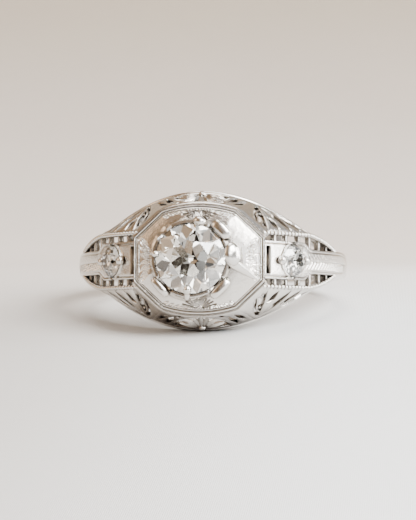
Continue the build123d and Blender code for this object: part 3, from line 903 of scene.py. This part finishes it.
def plate_shape(settings):
    """Faceted and engraved plate between the border and the collet."""
    around, across = 720, 44
    outline = inset_loop(octagon(step=0.03), BORDER - 0.01)
    angle = np.linspace(0, 2 * pi, around, endpoint=False)
    own = np.unwrap(np.arctan2(outline[:, 1], outline[:, 0] - STONE_X))
    order = np.argsort(own % (2 * pi))
    bearings = (own % (2 * pi))[order]
    reach = np.hypot(outline[:, 0] - STONE_X, outline[:, 1])[order]
    outer = np.interp(angle, bearings, reach, period=2 * pi)
    share = np.linspace(0, 1, across)[:, None]
    radius = (COLLET_LIP_R + 0.08) * (1 - share) + outer[None, :] * share
    flat = np.stack([STONE_X + radius * np.cos(angle), radius * np.sin(angle)], axis=-1)
    top = head_point(flat, plate_height(flat, settings))
    bottom = head_point(flat, PLATE_UNDERSIDE + 0.15 * (1 - share))
    count = around * across
    faces = flipped(strip_faces(across, around, closed_columns=True))
    lower = [[i + count for i in face[::-1]] for face in faces]
    walls = []
    for column in range(around):
        beside = (column + 1) % around
        inner, outer_row = 0, (across - 1) * around
        walls.append([inner + column, inner + beside, inner + beside + count, inner + column + count])
        walls.append(
            [outer_row + beside, outer_row + column, outer_row + column + count, outer_row + beside + count]
        )
    points = np.concatenate([top.reshape(-1, 3), bottom.reshape(-1, 3)])
    return Shape().add(points, faces + lower + walls)


COLLET_LOBES = (
    # bearing, half width, half depth and height of the middle
    (43.0, 0.82, 0.44, 12.62),
    (-45.0, 0.86, 0.36, 12.5),
    (222.0, 0.8, 0.3, 12.48),
)


def round_stone(bearing):
    """Directions away from the centre stone's axis and round it, at a bearing in degrees."""
    angle = radians(bearing)
    return np.array([cos(angle), 0, sin(angle)]), np.array([-sin(angle), 0, cos(angle)])


def collet_shape():
    """Tapered collar under the stone, scalloped between the claws."""
    angle = np.linspace(0, 2 * pi, 240, endpoint=False)
    off = np.abs((np.degrees(angle) % 90) - 45)
    reach = COLLET_R * np.sin(np.radians(off))
    dip = np.sqrt(np.maximum(SCALLOP_R ** 2 - reach ** 2, 0)) - SCALLOP_RISE
    dip = np.maximum(dip, 0) * smooth(SCALLOP_R - reach, 0.0, 0.15)
    crest = COLLET_TOP - dip
    inner_r = STONE_R - 0.12
    rows = [
        (COLLET_FOOT_R - COLLET_WALL + 0.05, COLLET_FOOT),
        (COLLET_FOOT_R - 0.05, COLLET_FOOT),
        (COLLET_FOOT_R, COLLET_FOOT + 0.06),
        (COLLET_BASE_R - 0.4, HEAD_TOP - 0.5),
        (COLLET_BASE_R, HEAD_TOP + 0.05),
        (COLLET_BASE_R - 0.02, HEAD_TOP + 0.2),
        (COLLET_LIP_R + 0.09, crest - 0.2),
        (COLLET_LIP_R + 0.05, crest - 0.06),
        (COLLET_LIP_R + 0.02, crest - 0.01),
        (COLLET_LIP_R - 0.03, crest),
        (STONE_R + 0.02, crest),
        (STONE_R + 0.01, crest - 0.08),
        (inner_r, np.minimum(crest - 0.1, STONE_GIRDLE_TOP - 0.1)),
        (inner_r - 0.12, HEAD_TOP - 0.1),
        (COLLET_FOOT_R - COLLET_WALL, COLLET_FOOT + 0.06),
    ]
    loops = [
        head_point(np.stack([STONE_X + radius * np.cos(angle), radius * np.sin(angle)], axis=-1), height)
        for radius, height in rows
    ]
    faces = strip_faces(len(rows), len(angle), closed_rows=True, closed_columns=True)
    shape = Shape().add(np.concatenate(loops), flipped(faces))
    for bearing, half_width, half_depth, height in COLLET_LOBES:
        outward, aside = round_stone(bearing)
        at = outward * (COLLET_R + half_depth * 0.3) + (STONE_X, -height, 0)
        add_lump(shape, at, [aside * half_width, outward * half_depth, (0, -0.42, 0)], 2.8, 32, 16)
    return shape


CLAWS = (
    # name, bearing, half width and half length of the tip, distance of the tip from the stone's axis
    ("right", 6.0, 0.8, 0.66, 2.92),
    ("top", 76.0, 0.44, 0.34, 2.62),
    ("left", 172.0, 0.24, 0.3, 2.36),
    ("bottom", 265.0, 0.29, 0.36, 2.12),
)


def claw_shape(bearing, half_width, half_length, tip_r):
    """Claw that rises beside the collet and ends in a rounded tip on the stone."""
    outward, aside = round_stone(bearing)
    lift = np.array([0, -1, 0])
    centre = np.array([STONE_X, 0, 0])
    crown = tan(radians(CROWN_ANGLE))
    tip_height = STONE_GIRDLE_TOP + crown * max(STONE_R - tip_r, 0) + 0.08
    foot_r = max(COLLET_LIP_R + 0.08, tip_r + half_length * 0.6)
    line = curve(
        [
            (foot_r, HEAD_TOP + 0.05),
            (foot_r, HEAD_TOP + 0.5),
            (max(tip_r + half_length * 0.45, COLLET_LIP_R), STONE_GIRDLE_TOP + 0.02),
            (tip_r, tip_height - 0.04),
        ],
        16,
    )
    path = [centre + outward * r + lift * h for r, h in line]
    section = rounded_section(half_width * 1.25, 0.36, 0.17, 6)
    shape = sweep(Shape(), path, aside, section)
    fold = unit(outward - lift * crown)
    rise = np.cross(fold, aside)
    rise *= np.sign(np.dot(rise, lift))
    tip = centre + outward * tip_r + lift * tip_height
    return add_lump(shape, tip, [aside * half_width, fold * half_length, rise * 0.34], 2.0, 32, 18)


def claw_ridge():
    """Smooth ridge that runs from the right claw down the crease of the head plate."""
    line = curve([(2.1, 0.15, 12.82), (2.5, -0.35, 12.7), (3.2, -0.85, 12.34), (4.0, -1.4, 11.98)], 24)
    path = [np.array([x, -height, z]) for x, z, height in line]
    girth = np.linspace(1.0, 0.1, len(line)) ** 0.8
    section = rounded_section(0.6, 0.9, 0.28, 6)
    return sweep(Shape(), path, (0, -1, 0), section, girth)


# Stones ---------------------------------------------------------------------


def stone_ring(radius, height, offset, count=8):
    """Corner points round a stone's axis."""
    angle = 2 * pi / count * (np.arange(count) + offset)
    return [(radius * cos(a), radius * sin(a), height) for a in angle]


def old_cut_shape(radius, place, turned=0.0):
    """Old European cut: table, stars, kites, halves, girdle, pavilion and an open culet."""
    slope = tan(radians(CROWN_ANGLE))
    fall = tan(radians(PAVILION_ANGLE))
    half_step = cos(radians(22.5))
    table_r, star_r, lower_r, culet_r = (share * radius for share in (TABLE_SHARE, 0.79, 0.44, CULET_SHARE))
    bottom = -GIRDLE_SHARE * radius
    table = stone_ring(table_r, (radius - table_r) * slope, 0)
    star = stone_ring(star_r, (radius - star_r * half_step) * slope, 0.5)
    top = stone_ring(radius, 0, 0, 16)
    low = stone_ring(radius, bottom, 0, 16)
    split = stone_ring(lower_r, bottom - (radius - lower_r * half_step) * fall, 0.5)
    culet = stone_ring(culet_r, bottom - (radius - culet_r * half_step) * fall, 0.5)
    points = table + star + top + low + split + culet
    t, s, g, b, p, c = 0, 8, 16, 32, 48, 56
    faces = [[t + k for k in range(8)], [c + k for k in range(8)][::-1]]
    for k in range(8):
        n, last = (k + 1) % 8, (k - 1) % 8
        main, half, after = 2 * k, 2 * k + 1, (2 * k + 2) % 16
        faces += [
            [t + k, s + k, t + n],
            [t + k, s + last, g + main, s + k],
            [g + main, g + half, s + k],
            [g + half, g + after, s + k],
            [b + main, b + half, g + half, g + main],
            [b + half, b + after, g + after, g + half],
            [b + half, b + main, p + k],
            [b + after, b + half, p + k],
            [b + main, p + last, c + last, c + k, p + k],
        ]
    spin = radians(turned)
    origin, across, upward, axis = (np.asarray(v, float) for v in place)
    one = across * cos(spin) + upward * sin(spin)
    two = upward * cos(spin) - across * sin(spin)
    return Shape().add(origin + np.array(points) @ np.array([one, two, axis]), faces)


def side_place():
    """Girdle centre, two directions across and the axis of the right side stone."""
    run = run_at(SIDE_STONE_TURN)
    centre = shoulder_surface(run, 0.0)
    ahead = unit(shoulder_surface(run + 0.01, 0.0) - centre)
    axis = np.array([-ahead[1], ahead[0], 0])
    if np.dot(axis, centre) < 0:
        axis = -axis
    return centre + axis * SIDE_STONE_PROUD, ahead, np.cross(axis, ahead), axis


# Shoulders ------------------------------------------------------------------


def plate_half_width(run):
    """Half width of the shoulder plate along the shoulder."""
    x = shoulder_surface(run, 0 * run)[..., 0]
    narrowed = smooth(x, SIDE_PLATE_END_X, LEAF_START_X)
    tapered = (LEAF_HALF - LEAF_END_HALF) * smooth(turn_at(run), 70, 97)
    return SIDE_PLATE_HALF + (LEAF_HALF - SIDE_PLATE_HALF) * narrowed - tapered


def shoulder_carving(flat, settings, last):
    """Lip, stone collar and leaf veins of the shoulder plate."""
    run, z = flat[:, 0], flat[:, 1]
    x = shoulder_surface(run, 0 * run)[..., 0]
    width = plate_half_width(run)
    edge = width - np.abs(z)
    on_plate = 1 - smooth(x, SIDE_PLATE_END_X - 0.1, SIDE_PLATE_END_X + 0.5)
    lip = 0.07 * (1 - smooth(edge, 0.1, 0.17)) * on_plate
    centre = run_at(SIDE_STONE_TURN)
    ring = np.hypot(run - centre, z)
    collar = 0.14 * (1 - smooth(np.abs(ring - SIDE_STONE_R - 0.04), 0.05, 0.11)) * (ring < 1.3)
    on_leaf = smooth(x, LEAF_START_X - 0.7, LEAF_START_X - 0.2) * (1 - smooth(turn_at(run), 74, 82))
    pitch = 0.4
    phase = np.mod(run + np.abs(z) * 0.9, pitch) - pitch / 2
    veins = cut(np.abs(phase), settings.cut_width * 1.8, settings.cut_depth * 1.5) * (np.abs(z) < 0.52)
    spine = cut(np.abs(z), 0.06, settings.cut_depth * 1.5)
    border = cut(np.abs(edge - 0.2), 0.07, 0.06)
    leaf_cut = np.minimum(np.minimum(veins, spine) * on_leaf, border * np.maximum(on_leaf, on_plate))
    fade = 1 - smooth(run, last - 2.0, last)
    crown = 0.1 * (1 - (z / width) ** 2) * (1 - on_plate)
    return (lip + collar * on_plate + leaf_cut + crown) * fade - 0.12 * (1 - fade)


def ribbon(runs, low, high):
    """Outline between two lines that are given at the same runs."""
    return np.concatenate([np.stack([runs, low], axis=1), np.stack([runs, high], axis=1)[::-1]])


def shoulder_shape(settings):
    """Plate with a stone seat that runs out into an engraved leaf; right one."""
    last = run_at(97.0)
    runs = np.linspace(0.0, last, 90)
    width = plate_half_width(runs)
    outline = ribbon(runs, -width, width)
    seat = disc((run_at(SIDE_STONE_TURN), 0.0), SIDE_STONE_R * 0.86, 40)
    slot = np.array([(0.16, -0.95), (0.56, -0.95), (0.56, 0.95), (0.16, 0.95)])
    thickness = 0.5

    def middle(run, z):
        return shoulder_surface(run, z) - (thickness / 2) * shoulder_normal(run)

    def carve(flat, far):
        return shoulder_carving(flat, settings, last)

    return sheet_shape(middle, outline, [seat, slot], thickness, settings.bevel * 0.8, 0.055, carve)


def shoulder_normal(run):
    """Outward direction of the shoulder's top."""
    step = 1e-3
    ahead = unit(shoulder_surface(run + step, 0 * run) - shoulder_surface(run - step, 0 * run))
    normal = np.stack([ahead[..., 1], -ahead[..., 0], 0 * ahead[..., 0]], axis=-1)
    facing = np.sum(normal * shoulder_surface(run, 0 * run), axis=-1, keepdims=True)
    return normal * np.sign(facing)


def side_beads_shape():
    """Two beads that hold the right side stone."""
    centre, ahead, upward, axis = side_place()
    shape = Shape()
    for way in (-1, 1):
        at = centre + ahead * way * (SIDE_STONE_R + 0.17) + axis * 0.02
        axes = [ahead * SIDE_BEAD_R, upward * SIDE_BEAD_R, axis * SIDE_BEAD_R * 0.95]
        add_lump(shape, at, axes, 2.2, 20, 12)
    return shape


def rail_path(first=SHOULDER_START_TURN - 1.0, last=RAIL_END_TURN + 6, count=60, drop=0.0):
    """Middle line of the upper right rail and the outward direction there."""
    turns = np.linspace(first, last, count)
    x, y = plan(turns, shoulder_radius(turns) - RAIL_DROP - drop)
    path = np.stack([x, y, rail_half_span(np.minimum(turns, RAIL_END_TURN + 1))], axis=1)
    return path, shoulder_normal(run_at(turns))


def rail_shape(settings):
    """Rail between the ladder and the leaf screen, with a row of beads on top; upper right one."""
    path, up = rail_path(drop=RAIL_HEIGHT / 2)
    taper = np.interp(np.arange(len(path)), [0, len(path) * 0.8, len(path) - 1], [1, 0.9, 0.35])
    section = rounded_section(RAIL_HEIGHT, RAIL_WIDTH * 0.62, 0.08)
    shape = sweep(Shape(), path, up, section, taper)
    top, _ = rail_path(last=RAIL_END_TURN, drop=-0.05)
    beads = spaced(top, settings.bead_pitch)
    normals = shoulder_normal(run_at(np.degrees(np.arctan2(beads[:, 0], -beads[:, 1]))))
    return add_beads(shape, beads, normals, settings.bead_radius)


def ladder_shape():
    """Short bars between the shoulder plate and the rail; upper right ones."""
    shape = Shape()
    for turn in LADDER_TURNS:
        run = run_at(turn)
        normal = shoulder_normal(run)
        heights = np.linspace(plate_half_width(run) - 0.1, rail_half_span(turn), 6)
        path = [shoulder_surface(run, z) - normal * 0.42 for z in heights]
        sweep(shape, path, normal, rounded_section(0.42, 0.26, 0.08, 3))
    return shape


FLANK_LEAVES = (
    # foot turn, top turn, foot share, top share, width
    (24.4, 28.2, 0.5, 0.12, 0.42),
    (24.6, 34.6, 0.9, 0.12, 0.5),
    (29.2, 40.4, 0.92, 0.1, 0.54),
    (34.6, 46.4, 0.91, 0.1, 0.52),
    (40.4, 52.2, 0.89, 0.1, 0.47),
    (46.2, 57.4, 0.86, 0.13, 0.4),
    (51.8, 61.4, 0.83, 0.18, 0.32),
)


def flank_shape(settings):
    """Side wall between the rail and the rim, pierced with slanted leaves; upper right one."""
    runs = np.linspace(run_at(23.2), run_at(65.0), 60)

    def girth(run):
        top = flank_surface(run, 0 * run)
        foot = flank_surface(run, 0 * run + 1)
        return np.linalg.norm(top - foot, axis=-1)

    outline = ribbon(runs, girth(runs) * -0.03, girth(runs) * 1.02)
    holes = []
    for foot_turn, top_turn, foot_share, top_share, wide in FLANK_LEAVES:
        foot_run, top_run = run_at(foot_turn), run_at(top_turn)
        start = (foot_run, foot_share * girth(foot_run))
        end = (top_run, top_share * girth(top_run))
        holes.append(leaf(start, end, wide, 0.1 * wide))

    def to_surface(flat):
        return flat[:, 0], flat[:, 1] / girth(flat[:, 0])

    def veins(flat, far):
        return cut(np.abs(far - 0.14), 0.045, 0.03)

    return sheet_shape(
        flank_surface, outline, holes, 0.34, settings.bevel, carve=veins, to_surface=to_surface, bulge=0.25
    )


# Screens --------------------------------------------------------------------


GALLERY_HALF = 3.2
GALLERY_DEEP = 2.75
WALL_LAP = 0.07


def oblong(low, high, deep):
    """Outline of a wall that is drawn flat with the border at 0."""
    return np.array([(low, 0.0), (high, 0.0), (high, deep), (low, deep)])


def gallery_map(flat):
    """From a flat drawing in millimetres to the gallery wall."""
    return flat[:, 0] / GALLERY_HALF, flat[:, 1] / GALLERY_DEEP


def gallery_holes():
    """Arch and side openings of the gallery wall, drawn flat with the border at 0."""
    angle = np.linspace(0, pi, 25)
    arch = np.stack([1.78 * np.cos(angle), 2.45 - 2.2 * np.sin(angle) ** 0.8], axis=1)
    holes = [arch]
    for side in (1, -1):
        holes.append(leaf((side * 2.06, 0.75), (side * 2.26, 2.35), 0.4, side * -0.06))
        holes.append(leaf((side * 2.58, 0.7), (side * 2.84, 1.95), 0.34, side * -0.04))
        holes.append(disc((side * 1.68, 0.48), 0.17, 16))
    return holes


def gallery_shape(settings):
    """Pierced wall between the border and the rim; upper one."""
    shape = sheet_shape(
        gallery_surface,
        oblong(-GALLERY_HALF - WALL_LAP, GALLERY_HALF + WALL_LAP, GALLERY_DEEP),
        gallery_holes(),
        settings.sheet,
        settings.bevel,
        to_surface=gallery_map,
        bulge=0.25,
    )
    angle = np.linspace(0.06 * pi, 0.94 * pi, 60)
    arch = np.stack([1.9 * np.cos(angle), 2.45 - 2.33 * np.sin(angle) ** 0.8], axis=1)
    beads = spaced(arch, 0.2)
    along, down = gallery_map(beads)
    points = lifted(gallery_surface, along, down, 0.17 + 0 * along)
    normals = points - lifted(gallery_surface, along, down, 0 * along)
    return add_beads(shape, points, normals, 0.075)


def petal(shape, start, end, width, ridge, lean=0.0, count=15):
    """Adds a leaf with a sharp midrib on the gallery wall; it is a closed solid."""
    start, end = np.array(start, float), np.array(end, float)
    axis = end - start
    across = unit(crosswise(axis))
    share = np.linspace(0, 1, count)
    belly = np.sin(np.pi * share ** 0.85)
    middle = start + np.outer(share, axis) + np.outer(np.sin(np.pi * share) * lean, across)
    rows = []
    for offset, height in ((-0.5, 0.0), (-0.42, 0.35), (0.0, 1.0), (0.42, 0.35), (0.5, 0.0), (0.0, -0.9)):
        flat = middle + np.outer(belly * width * offset, across)
        along, down = gallery_map(flat)
        rows.append(lifted(gallery_surface, along, down, ridge * height * (0.25 + 0.75 * belly)))
    points = np.stack(rows, axis=1).reshape(-1, 3)
    return shape.include(fix_facing(Shape().add(points, tube_faces(count, len(rows)))))


def fix_facing(shape):
    """Turns a closed shape's faces outwards."""
    points = np.array(shape.points)
    centre = points.mean(axis=0)
    volume = 0.0
    for face in shape.faces:
        a = points[face[0]] - centre
        for i in range(1, len(face) - 1):
            volume += np.dot(a, np.cross(points[face[i]] - centre, points[face[i + 1]] - centre))
    if volume < 0:
        shape.faces = flipped(shape.faces)
    return shape


BLOSSOM_PETALS = (
    # start, end, width, lean: right half, mirrored to the left
    ((0.1, 2.45), (0.62, 0.62), 0.5, -0.06),
    ((0.12, 2.5), (1.28, 1.12), 0.5, -0.1),
    ((0.15, 2.55), (1.66, 2.02), 0.42, -0.08),
)


def blossom_shape():
    """Bud and fanned leaves in the arch; upper one."""
    shape = Shape()
    petal(shape, (0, 2.5), (0, 0.1), 0.52, 0.24)
    for start, end, width, lean in BLOSSOM_PETALS:
        for side in (1, -1):
            petal(shape, (side * start[0], start[1]), (side * end[0], end[1]), width, 0.2, side * lean)
    along, down = np.zeros(2), np.full(2, 2.45 / GALLERY_DEEP)
    wall, bud = lifted(gallery_surface, along, down, np.array([0.0, 0.1]))
    return add_beads(shape, [bud], [bud - wall], 0.26)


CORNER_WIDE = 2.5
CORNER_DEEP = 2.9
# Points of the large opening and of the scroll wire across it, drawn flat
CORNER_HEART = (
    (0.36, 2.3), (0.62, 1.55), (1.12, 0.72), (1.5, 0.68),
    (1.58, 1.2), (1.5, 1.9), (1.28, 2.45), (0.72, 2.6),
)
CORNER_SCROLL = (
    (1.5, 0.5), (1.22, 1.0), (0.84, 1.5), (0.86, 2.05), (1.2, 2.05), (1.22, 1.7), (1.02, 1.64),
)


def corner_map(flat):
    """From a flat drawing in millimetres to the corner wall."""
    return flat[:, 0] / CORNER_WIDE, flat[:, 1] / CORNER_DEEP


def corner_shape(settings):
    """Pierced corner wall with a scroll; upper right one."""
    heart = curve([*CORNER_HEART, CORNER_HEART[0]], 48)[:-1]
    shape = sheet_shape(
        corner_surface,
        oblong(-WALL_LAP, CORNER_WIDE + WALL_LAP, CORNER_DEEP),
        [heart, leaf((1.84, 0.7), (2.26, 2.5), 0.5, -0.04)],
        settings.sheet,
        settings.bevel,
        to_surface=corner_map,
        bulge=0.25,
    )
    first, second = corner_map(curve(CORNER_SCROLL, 36))
    path = lifted(corner_surface, first, second, 0.1 + 0 * first)
    up = path - lifted(corner_surface, first, second, 0 * first)
    return sweep(shape, path, up, rounded_section(0.26, 0.15, 0.06, 3))


# Operators ------------------------------------------------------------------


class RING_OT_band(Operator):
    """Builds the band and the two rims."""

    bl_idname = "ring.band"
    bl_label = "Band and rims"

    def execute(self, context):
        settings = context.scene.ring_settings
        make_object("band", band_shape(settings), "polished_gold", ["shank"])
        for name, level in LEVELS:
            make_object(f"rim_{name}_edge", rim_shape(level), "polished_gold", [f"rim_{name}"])
        return {"FINISHED"}


class RING_OT_head(Operator):
    """Builds the head's border, plate, collet and claws."""

    bl_idname = "ring.head"
    bl_label = "Head"

    def execute(self, context):
        settings = context.scene.ring_settings
        make_object("head_border", frame_shape(), "polished_gold", ["head_frame"], 25)
        make_object("head_plate", plate_shape(settings), "engraved_gold", ["top_plate"], 14)
        make_object("stone_collet", collet_shape(), "polished_gold", ["collet"])
        for name, bearing, half_width, half_length, tip_r in CLAWS:
            shape = claw_shape(bearing, half_width, half_length, tip_r)
            if name == "right":
                shape.include(claw_ridge())
            make_object(f"claw_{name}_tip", shape, "polished_gold", [f"claw_{name}"], 60)
        return {"FINISHED"}


class RING_OT_stones(Operator):
    """Builds the centre stone, the side stones and their beads."""

    bl_idname = "ring.stones"
    bl_label = "Stones"

    def execute(self, context):
        place = ((STONE_X, -STONE_GIRDLE_TOP, 0), (1, 0, 0), (0, 0, 1), (0, -1, 0))
        stone = old_cut_shape(STONE_R, place, 11.0)
        make_object("old_cut_diamond", fix_facing(stone), "diamond", ["centre_diamond"], 1)
        side_stone = old_cut_shape(SIDE_STONE_R, side_place(), 5.0)
        for name, side in SIDES:
            stone = fix_facing(Shape().include(side_stone, side))
            make_object(f"side_stone_{name}", stone, "diamond", [f"side_diamond_{name}"], 1)
            beads = Shape().include(side_beads_shape(), side)
            make_object(f"stone_beads_{name}", beads, "polished_gold", [f"side_beads_{name}"], 60)
        return {"FINISHED"}


class RING_OT_shoulders(Operator):
    """Builds the shoulder plates, rails, ladders and leaf screens."""

    bl_idname = "ring.shoulders"
    bl_label = "Shoulders"

    def execute(self, context):
        settings = context.scene.ring_settings
        plate = shoulder_shape(settings)
        parts = (
            ("rail", "beaded_rail", rail_shape(settings), "milgrain_gold", 50),
            ("ladder", "ladder_bars", ladder_shape(), "polished_gold", 40),
            ("leaf_screen", "leaf_ribs", flank_shape(settings), "pierced_gold", 30),
        )
        for side_name, side in SIDES:
            made = Shape().include(plate, side)
            nodes = [f"shoulder_plate_{side_name}"]
            make_object(f"shoulder_{side_name}", made, "engraved_gold", nodes, 26)
            for level_name, level in LEVELS:
                for name, node, shape, slot, sharp in parts:
                    made = Shape().include(shape, side, level)
                    nodes = [f"{node}_{level_name}_{side_name}"]
                    make_object(f"{name}_{level_name}_{side_name}", made, slot, nodes, sharp)
        return {"FINISHED"}


class RING_OT_screens(Operator):
    """Builds the pierced gallery and corner walls and the blossoms."""

    bl_idname = "ring.screens"
    bl_label = "Screens"

    def execute(self, context):
        settings = context.scene.ring_settings
        parts = (
            ("gallery", "gallery_screen", gallery_shape(settings), "pierced_gold", 30),
            ("bud", "blossom", blossom_shape(), "engraved_gold", 25),
        )
        corner = corner_shape(settings)
        for level_name, level in LEVELS:
            for name, node, shape, slot, sharp in parts:
                made = Shape().include(shape, 1, level)
                make_object(f"{name}_{level_name}", made, slot, [f"{node}_{level_name}"], sharp)
            for side_name, side in SIDES:
                made = Shape().include(corner, side, level)
                nodes = [f"corner_screen_{level_name}_{side_name}"]
                make_object(f"corner_{level_name}_{side_name}", made, "pierced_gold", nodes, 30)
        return {"FINISHED"}


class RING_OT_walls(Operator):
    """Gives the end walls and the bridges their finish."""

    bl_idname = "ring.walls"
    bl_label = "Walls"

    def execute(self, context):
        for side_name, _ in SIDES:
            for node, slot in (("end_wall", "polished_gold"), ("bridge", "satin_gold")):
                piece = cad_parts[f"{node}_{side_name}"]
                piece.data.materials.clear()
                piece.data.materials.append(look_of(slot))
        return {"FINISHED"}


def aim(thing, target):
    """Points a camera or a light at a place."""
    thing.rotation_euler = (Vector(target) - thing.location).to_track_quat("-Z", "Y").to_euler()


def orbit(azimuth, elevation, distance):
    """A place round the ring, in metres."""
    a, e = radians(azimuth), radians(elevation)
    return Vector((sin(a) * cos(e), -cos(a) * cos(e), sin(e))) * distance * MM


def add_light(name, azimuth, elevation, distance, size, power, colour):
    """A soft square light that faces the ring."""
    light = bpy.data.lights.new(name, "AREA")
    light.shape = "RECTANGLE"
    light.size, light.size_y = size[0] * MM, size[1] * MM
    light.energy = power
    light.color = colour
    made = bpy.data.objects.new(name, light)
    bpy.context.scene.collection.objects.link(made)
    made.location = orbit(azimuth, elevation, distance)
    aim(made, (0, -8 * MM, 0))


def linen(weave):
    """Pale woven cloth: cool and brighter on the right, darker and warmer on the left with painted shade,
    brightened by painted light just behind the ring, and beige where it rises.
    """
    stage = bpy.context.scene.ring_stage
    made = Finish(bpy.data.materials.new("linen"))
    where = made.place()
    height = made.axis(where, "Z")
    # Painted shade: the linen darkens towards the left, away from the key light.
    right_lit_share = made.ramp(made.axis(where, "X"), -16.0, 16.0)
    shade = made.mixed(right_lit_share, tuple(stage.floor_left_shaded), tuple(stage.floor))
    # Painted light: a brighter band just behind the ring stands in for light falling on the linen there.
    shade = made.mixed(made.ramp(height, -5.0, 5.0), shade, tuple(stage.horizon_lit))
    shade = made.mixed(made.ramp(height, 12.0, 55.0), shade, tuple(stage.backdrop))
    cloudy = made.noise(18.0) * 0.6 + made.noise(1.6, 2.0, (1.0, 0.25, 1.0)) * 0.4
    shade = made.mixed((1 - cloudy) * 0.14, shade, (0.4, 0.36, 0.32))

    def threads(direction):
        """Height of the threads that run across a direction."""
        sockets = {"Vector": where, "Scale": 1.0 / weave, "Distortion": 1.5}
        bands = made.node("ShaderNodeTexWave", {"bands_direction": direction}, sockets)
        return made.node("ShaderNodeSeparateColor", None, {"Color": bands})

    woven = threads("X") + threads("Y")
    bump = made.node("ShaderNodeBump", None, {"Strength": 0.25, "Distance": 0.05 * MM, "Height": woven})
    sockets = {"Base Color": shade, "Roughness": 0.95, "Normal": bump}
    return made.ended(made.node("ShaderNodeBsdfPrincipled", None, sockets))


def studio_world():
    """Room round the ring: tan on the left, pale on the right, with soft dark gaps between its panels."""
    made = Finish(bpy.data.worlds.new("studio"), "ShaderNodeOutputWorld")
    way = made.node("ShaderNodeTexCoord", out="Generated")
    wall = made.mixed(made.ramp(made.axis(way, "X"), -0.2, 0.36), (0.68, 0.465, 0.295), (1.25, 1.25, 1.25))
    broad = made.node("ShaderNodeTexNoise", None, {"Vector": way, "Scale": 2.4, "Detail": 1.0})
    narrow = made.node("ShaderNodeTexNoise", None, {"Vector": way, "Scale": 11.0, "Detail": 1.0})
    panel = made.ramp(broad * 0.45 + narrow * 0.55, 0.43, 0.5)
    seen = made.mixed(panel, (0.035, 0.028, 0.022), wall)
    return made.ended(made.node("ShaderNodeBackground", None, {"Color": seen, "Strength": 0.95}))


LIGHTS = (
    # name, azimuth, elevation, distance, width and height in mm, power in W, colour
    ("key", 46, 34, 190, (110, 90), 0.95, (1.0, 0.99, 0.975)),
    ("strip", 82, 8, 170, (30, 140), 0.4, (1.0, 1.0, 1.0)),
    ("fill_left", -64, 22, 220, (120, 120), 0.14, (1.0, 0.74, 0.52)),
    ("top", 0, 84, 220, (120, 120), 0.35, (1.0, 0.97, 0.93)),
    ("front", 28, 12, 200, (50, 50), 0.12, (1.0, 1.0, 1.0)),
)


def floor_line():
    """Y and Z of the linen from front to back: it touches the rim and the band, then curves up."""
    front_y, front_z = -9.15, -RIM_HALF_SPAN
    slope = (-SHANK_WIDTH / 2 - front_z) / (SHANK_R - front_y)
    line = [(y, front_z + (y - front_y) * slope - 0.04) for y in (-120.0, SHANK_R + 4.0)]
    last_y, last_z = line[-1]
    for angle in np.linspace(0, pi / 2, 13)[1:]:
        line.append((last_y + 330 * sin(angle), last_z + 330 * (1 - cos(angle))))
    return line


class RING_OT_stage(Operator):
    """Builds the floor, the backdrop, the lights and the camera."""

    bl_idname = "ring.stage"
    bl_label = "Stage"

    def execute(self, context):
        stage = context.scene.ring_stage
        camera_data = bpy.data.cameras.new("camera")
        camera_data.lens = stage.lens
        camera_data.sensor_width = 36.0
        camera_data.clip_start, camera_data.clip_end = 0.005, 5.0
        camera = bpy.data.objects.new("camera", camera_data)
        context.scene.collection.objects.link(camera)
        turned = radians(stage.azimuth)
        centre = Vector((stage.aim_right * cos(turned), stage.aim_right * sin(turned), stage.aim_up)) * MM
        camera.location = centre + orbit(stage.azimuth, stage.elevation, stage.distance)
        aim(camera, centre)
        context.scene.camera = camera

        line = floor_line()
        points = [(x, y, z) for y, z in line for x in (-260.0, 0.0, 260.0)]
        mesh = bpy.data.meshes.new("floor")
        mesh.from_pydata((np.array(points) * MM).tolist(), [], strip_faces(len(line), 3))
        mesh.shade_smooth()
        mesh.materials.append(linen(0.35))
        floor = bpy.data.objects.new("floor", mesh)
        context.scene.collection.objects.link(floor)

        for light in LIGHTS:
            add_light(*light)
        context.scene.world = studio_world()
        return {"FINISHED"}


class RING_PT_panel(Panel):
    """Lists the ring's parts and settings."""

    bl_idname = "RING_PT_panel"
    bl_label = "Filigree ring"
    bl_space_type = "VIEW_3D"
    bl_region_type = "UI"
    bl_category = "Ring"

    def draw(self, context):
        layout = self.layout
        for operator in OPERATORS:
            layout.operator(operator.bl_idname)
        for group in (context.scene.ring_settings, context.scene.ring_finish, context.scene.ring_stage):
            box = layout.box()
            for name in group.bl_rna.properties.keys():
                if name not in ("rna_type", "name"):
                    box.prop(group, name)


OPERATORS = (
    RING_OT_band,
    RING_OT_head,
    RING_OT_stones,
    RING_OT_shoulders,
    RING_OT_screens,
    RING_OT_walls,
    RING_OT_stage,
)
GROUPS = (RingSettings, FinishSettings, StageSettings)


def register():
    for group in GROUPS + OPERATORS + (RING_PT_panel,):
        bpy.utils.register_class(group)
    bpy.types.Scene.ring_settings = PointerProperty(type=RingSettings)
    bpy.types.Scene.ring_finish = PointerProperty(type=FinishSettings)
    bpy.types.Scene.ring_stage = PointerProperty(type=StageSettings)


def unregister():
    del bpy.types.Scene.ring_stage
    del bpy.types.Scene.ring_finish
    del bpy.types.Scene.ring_settings
    for group in reversed(GROUPS + OPERATORS + (RING_PT_panel,)):
        bpy.utils.unregister_class(group)


def main():
    """Registers the add-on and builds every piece."""
    register()
    for operator in OPERATORS:
        area, name = operator.bl_idname.split(".")
        getattr(getattr(bpy.ops, area), name)()
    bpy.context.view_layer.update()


if __name__ == "__main__":
    main()
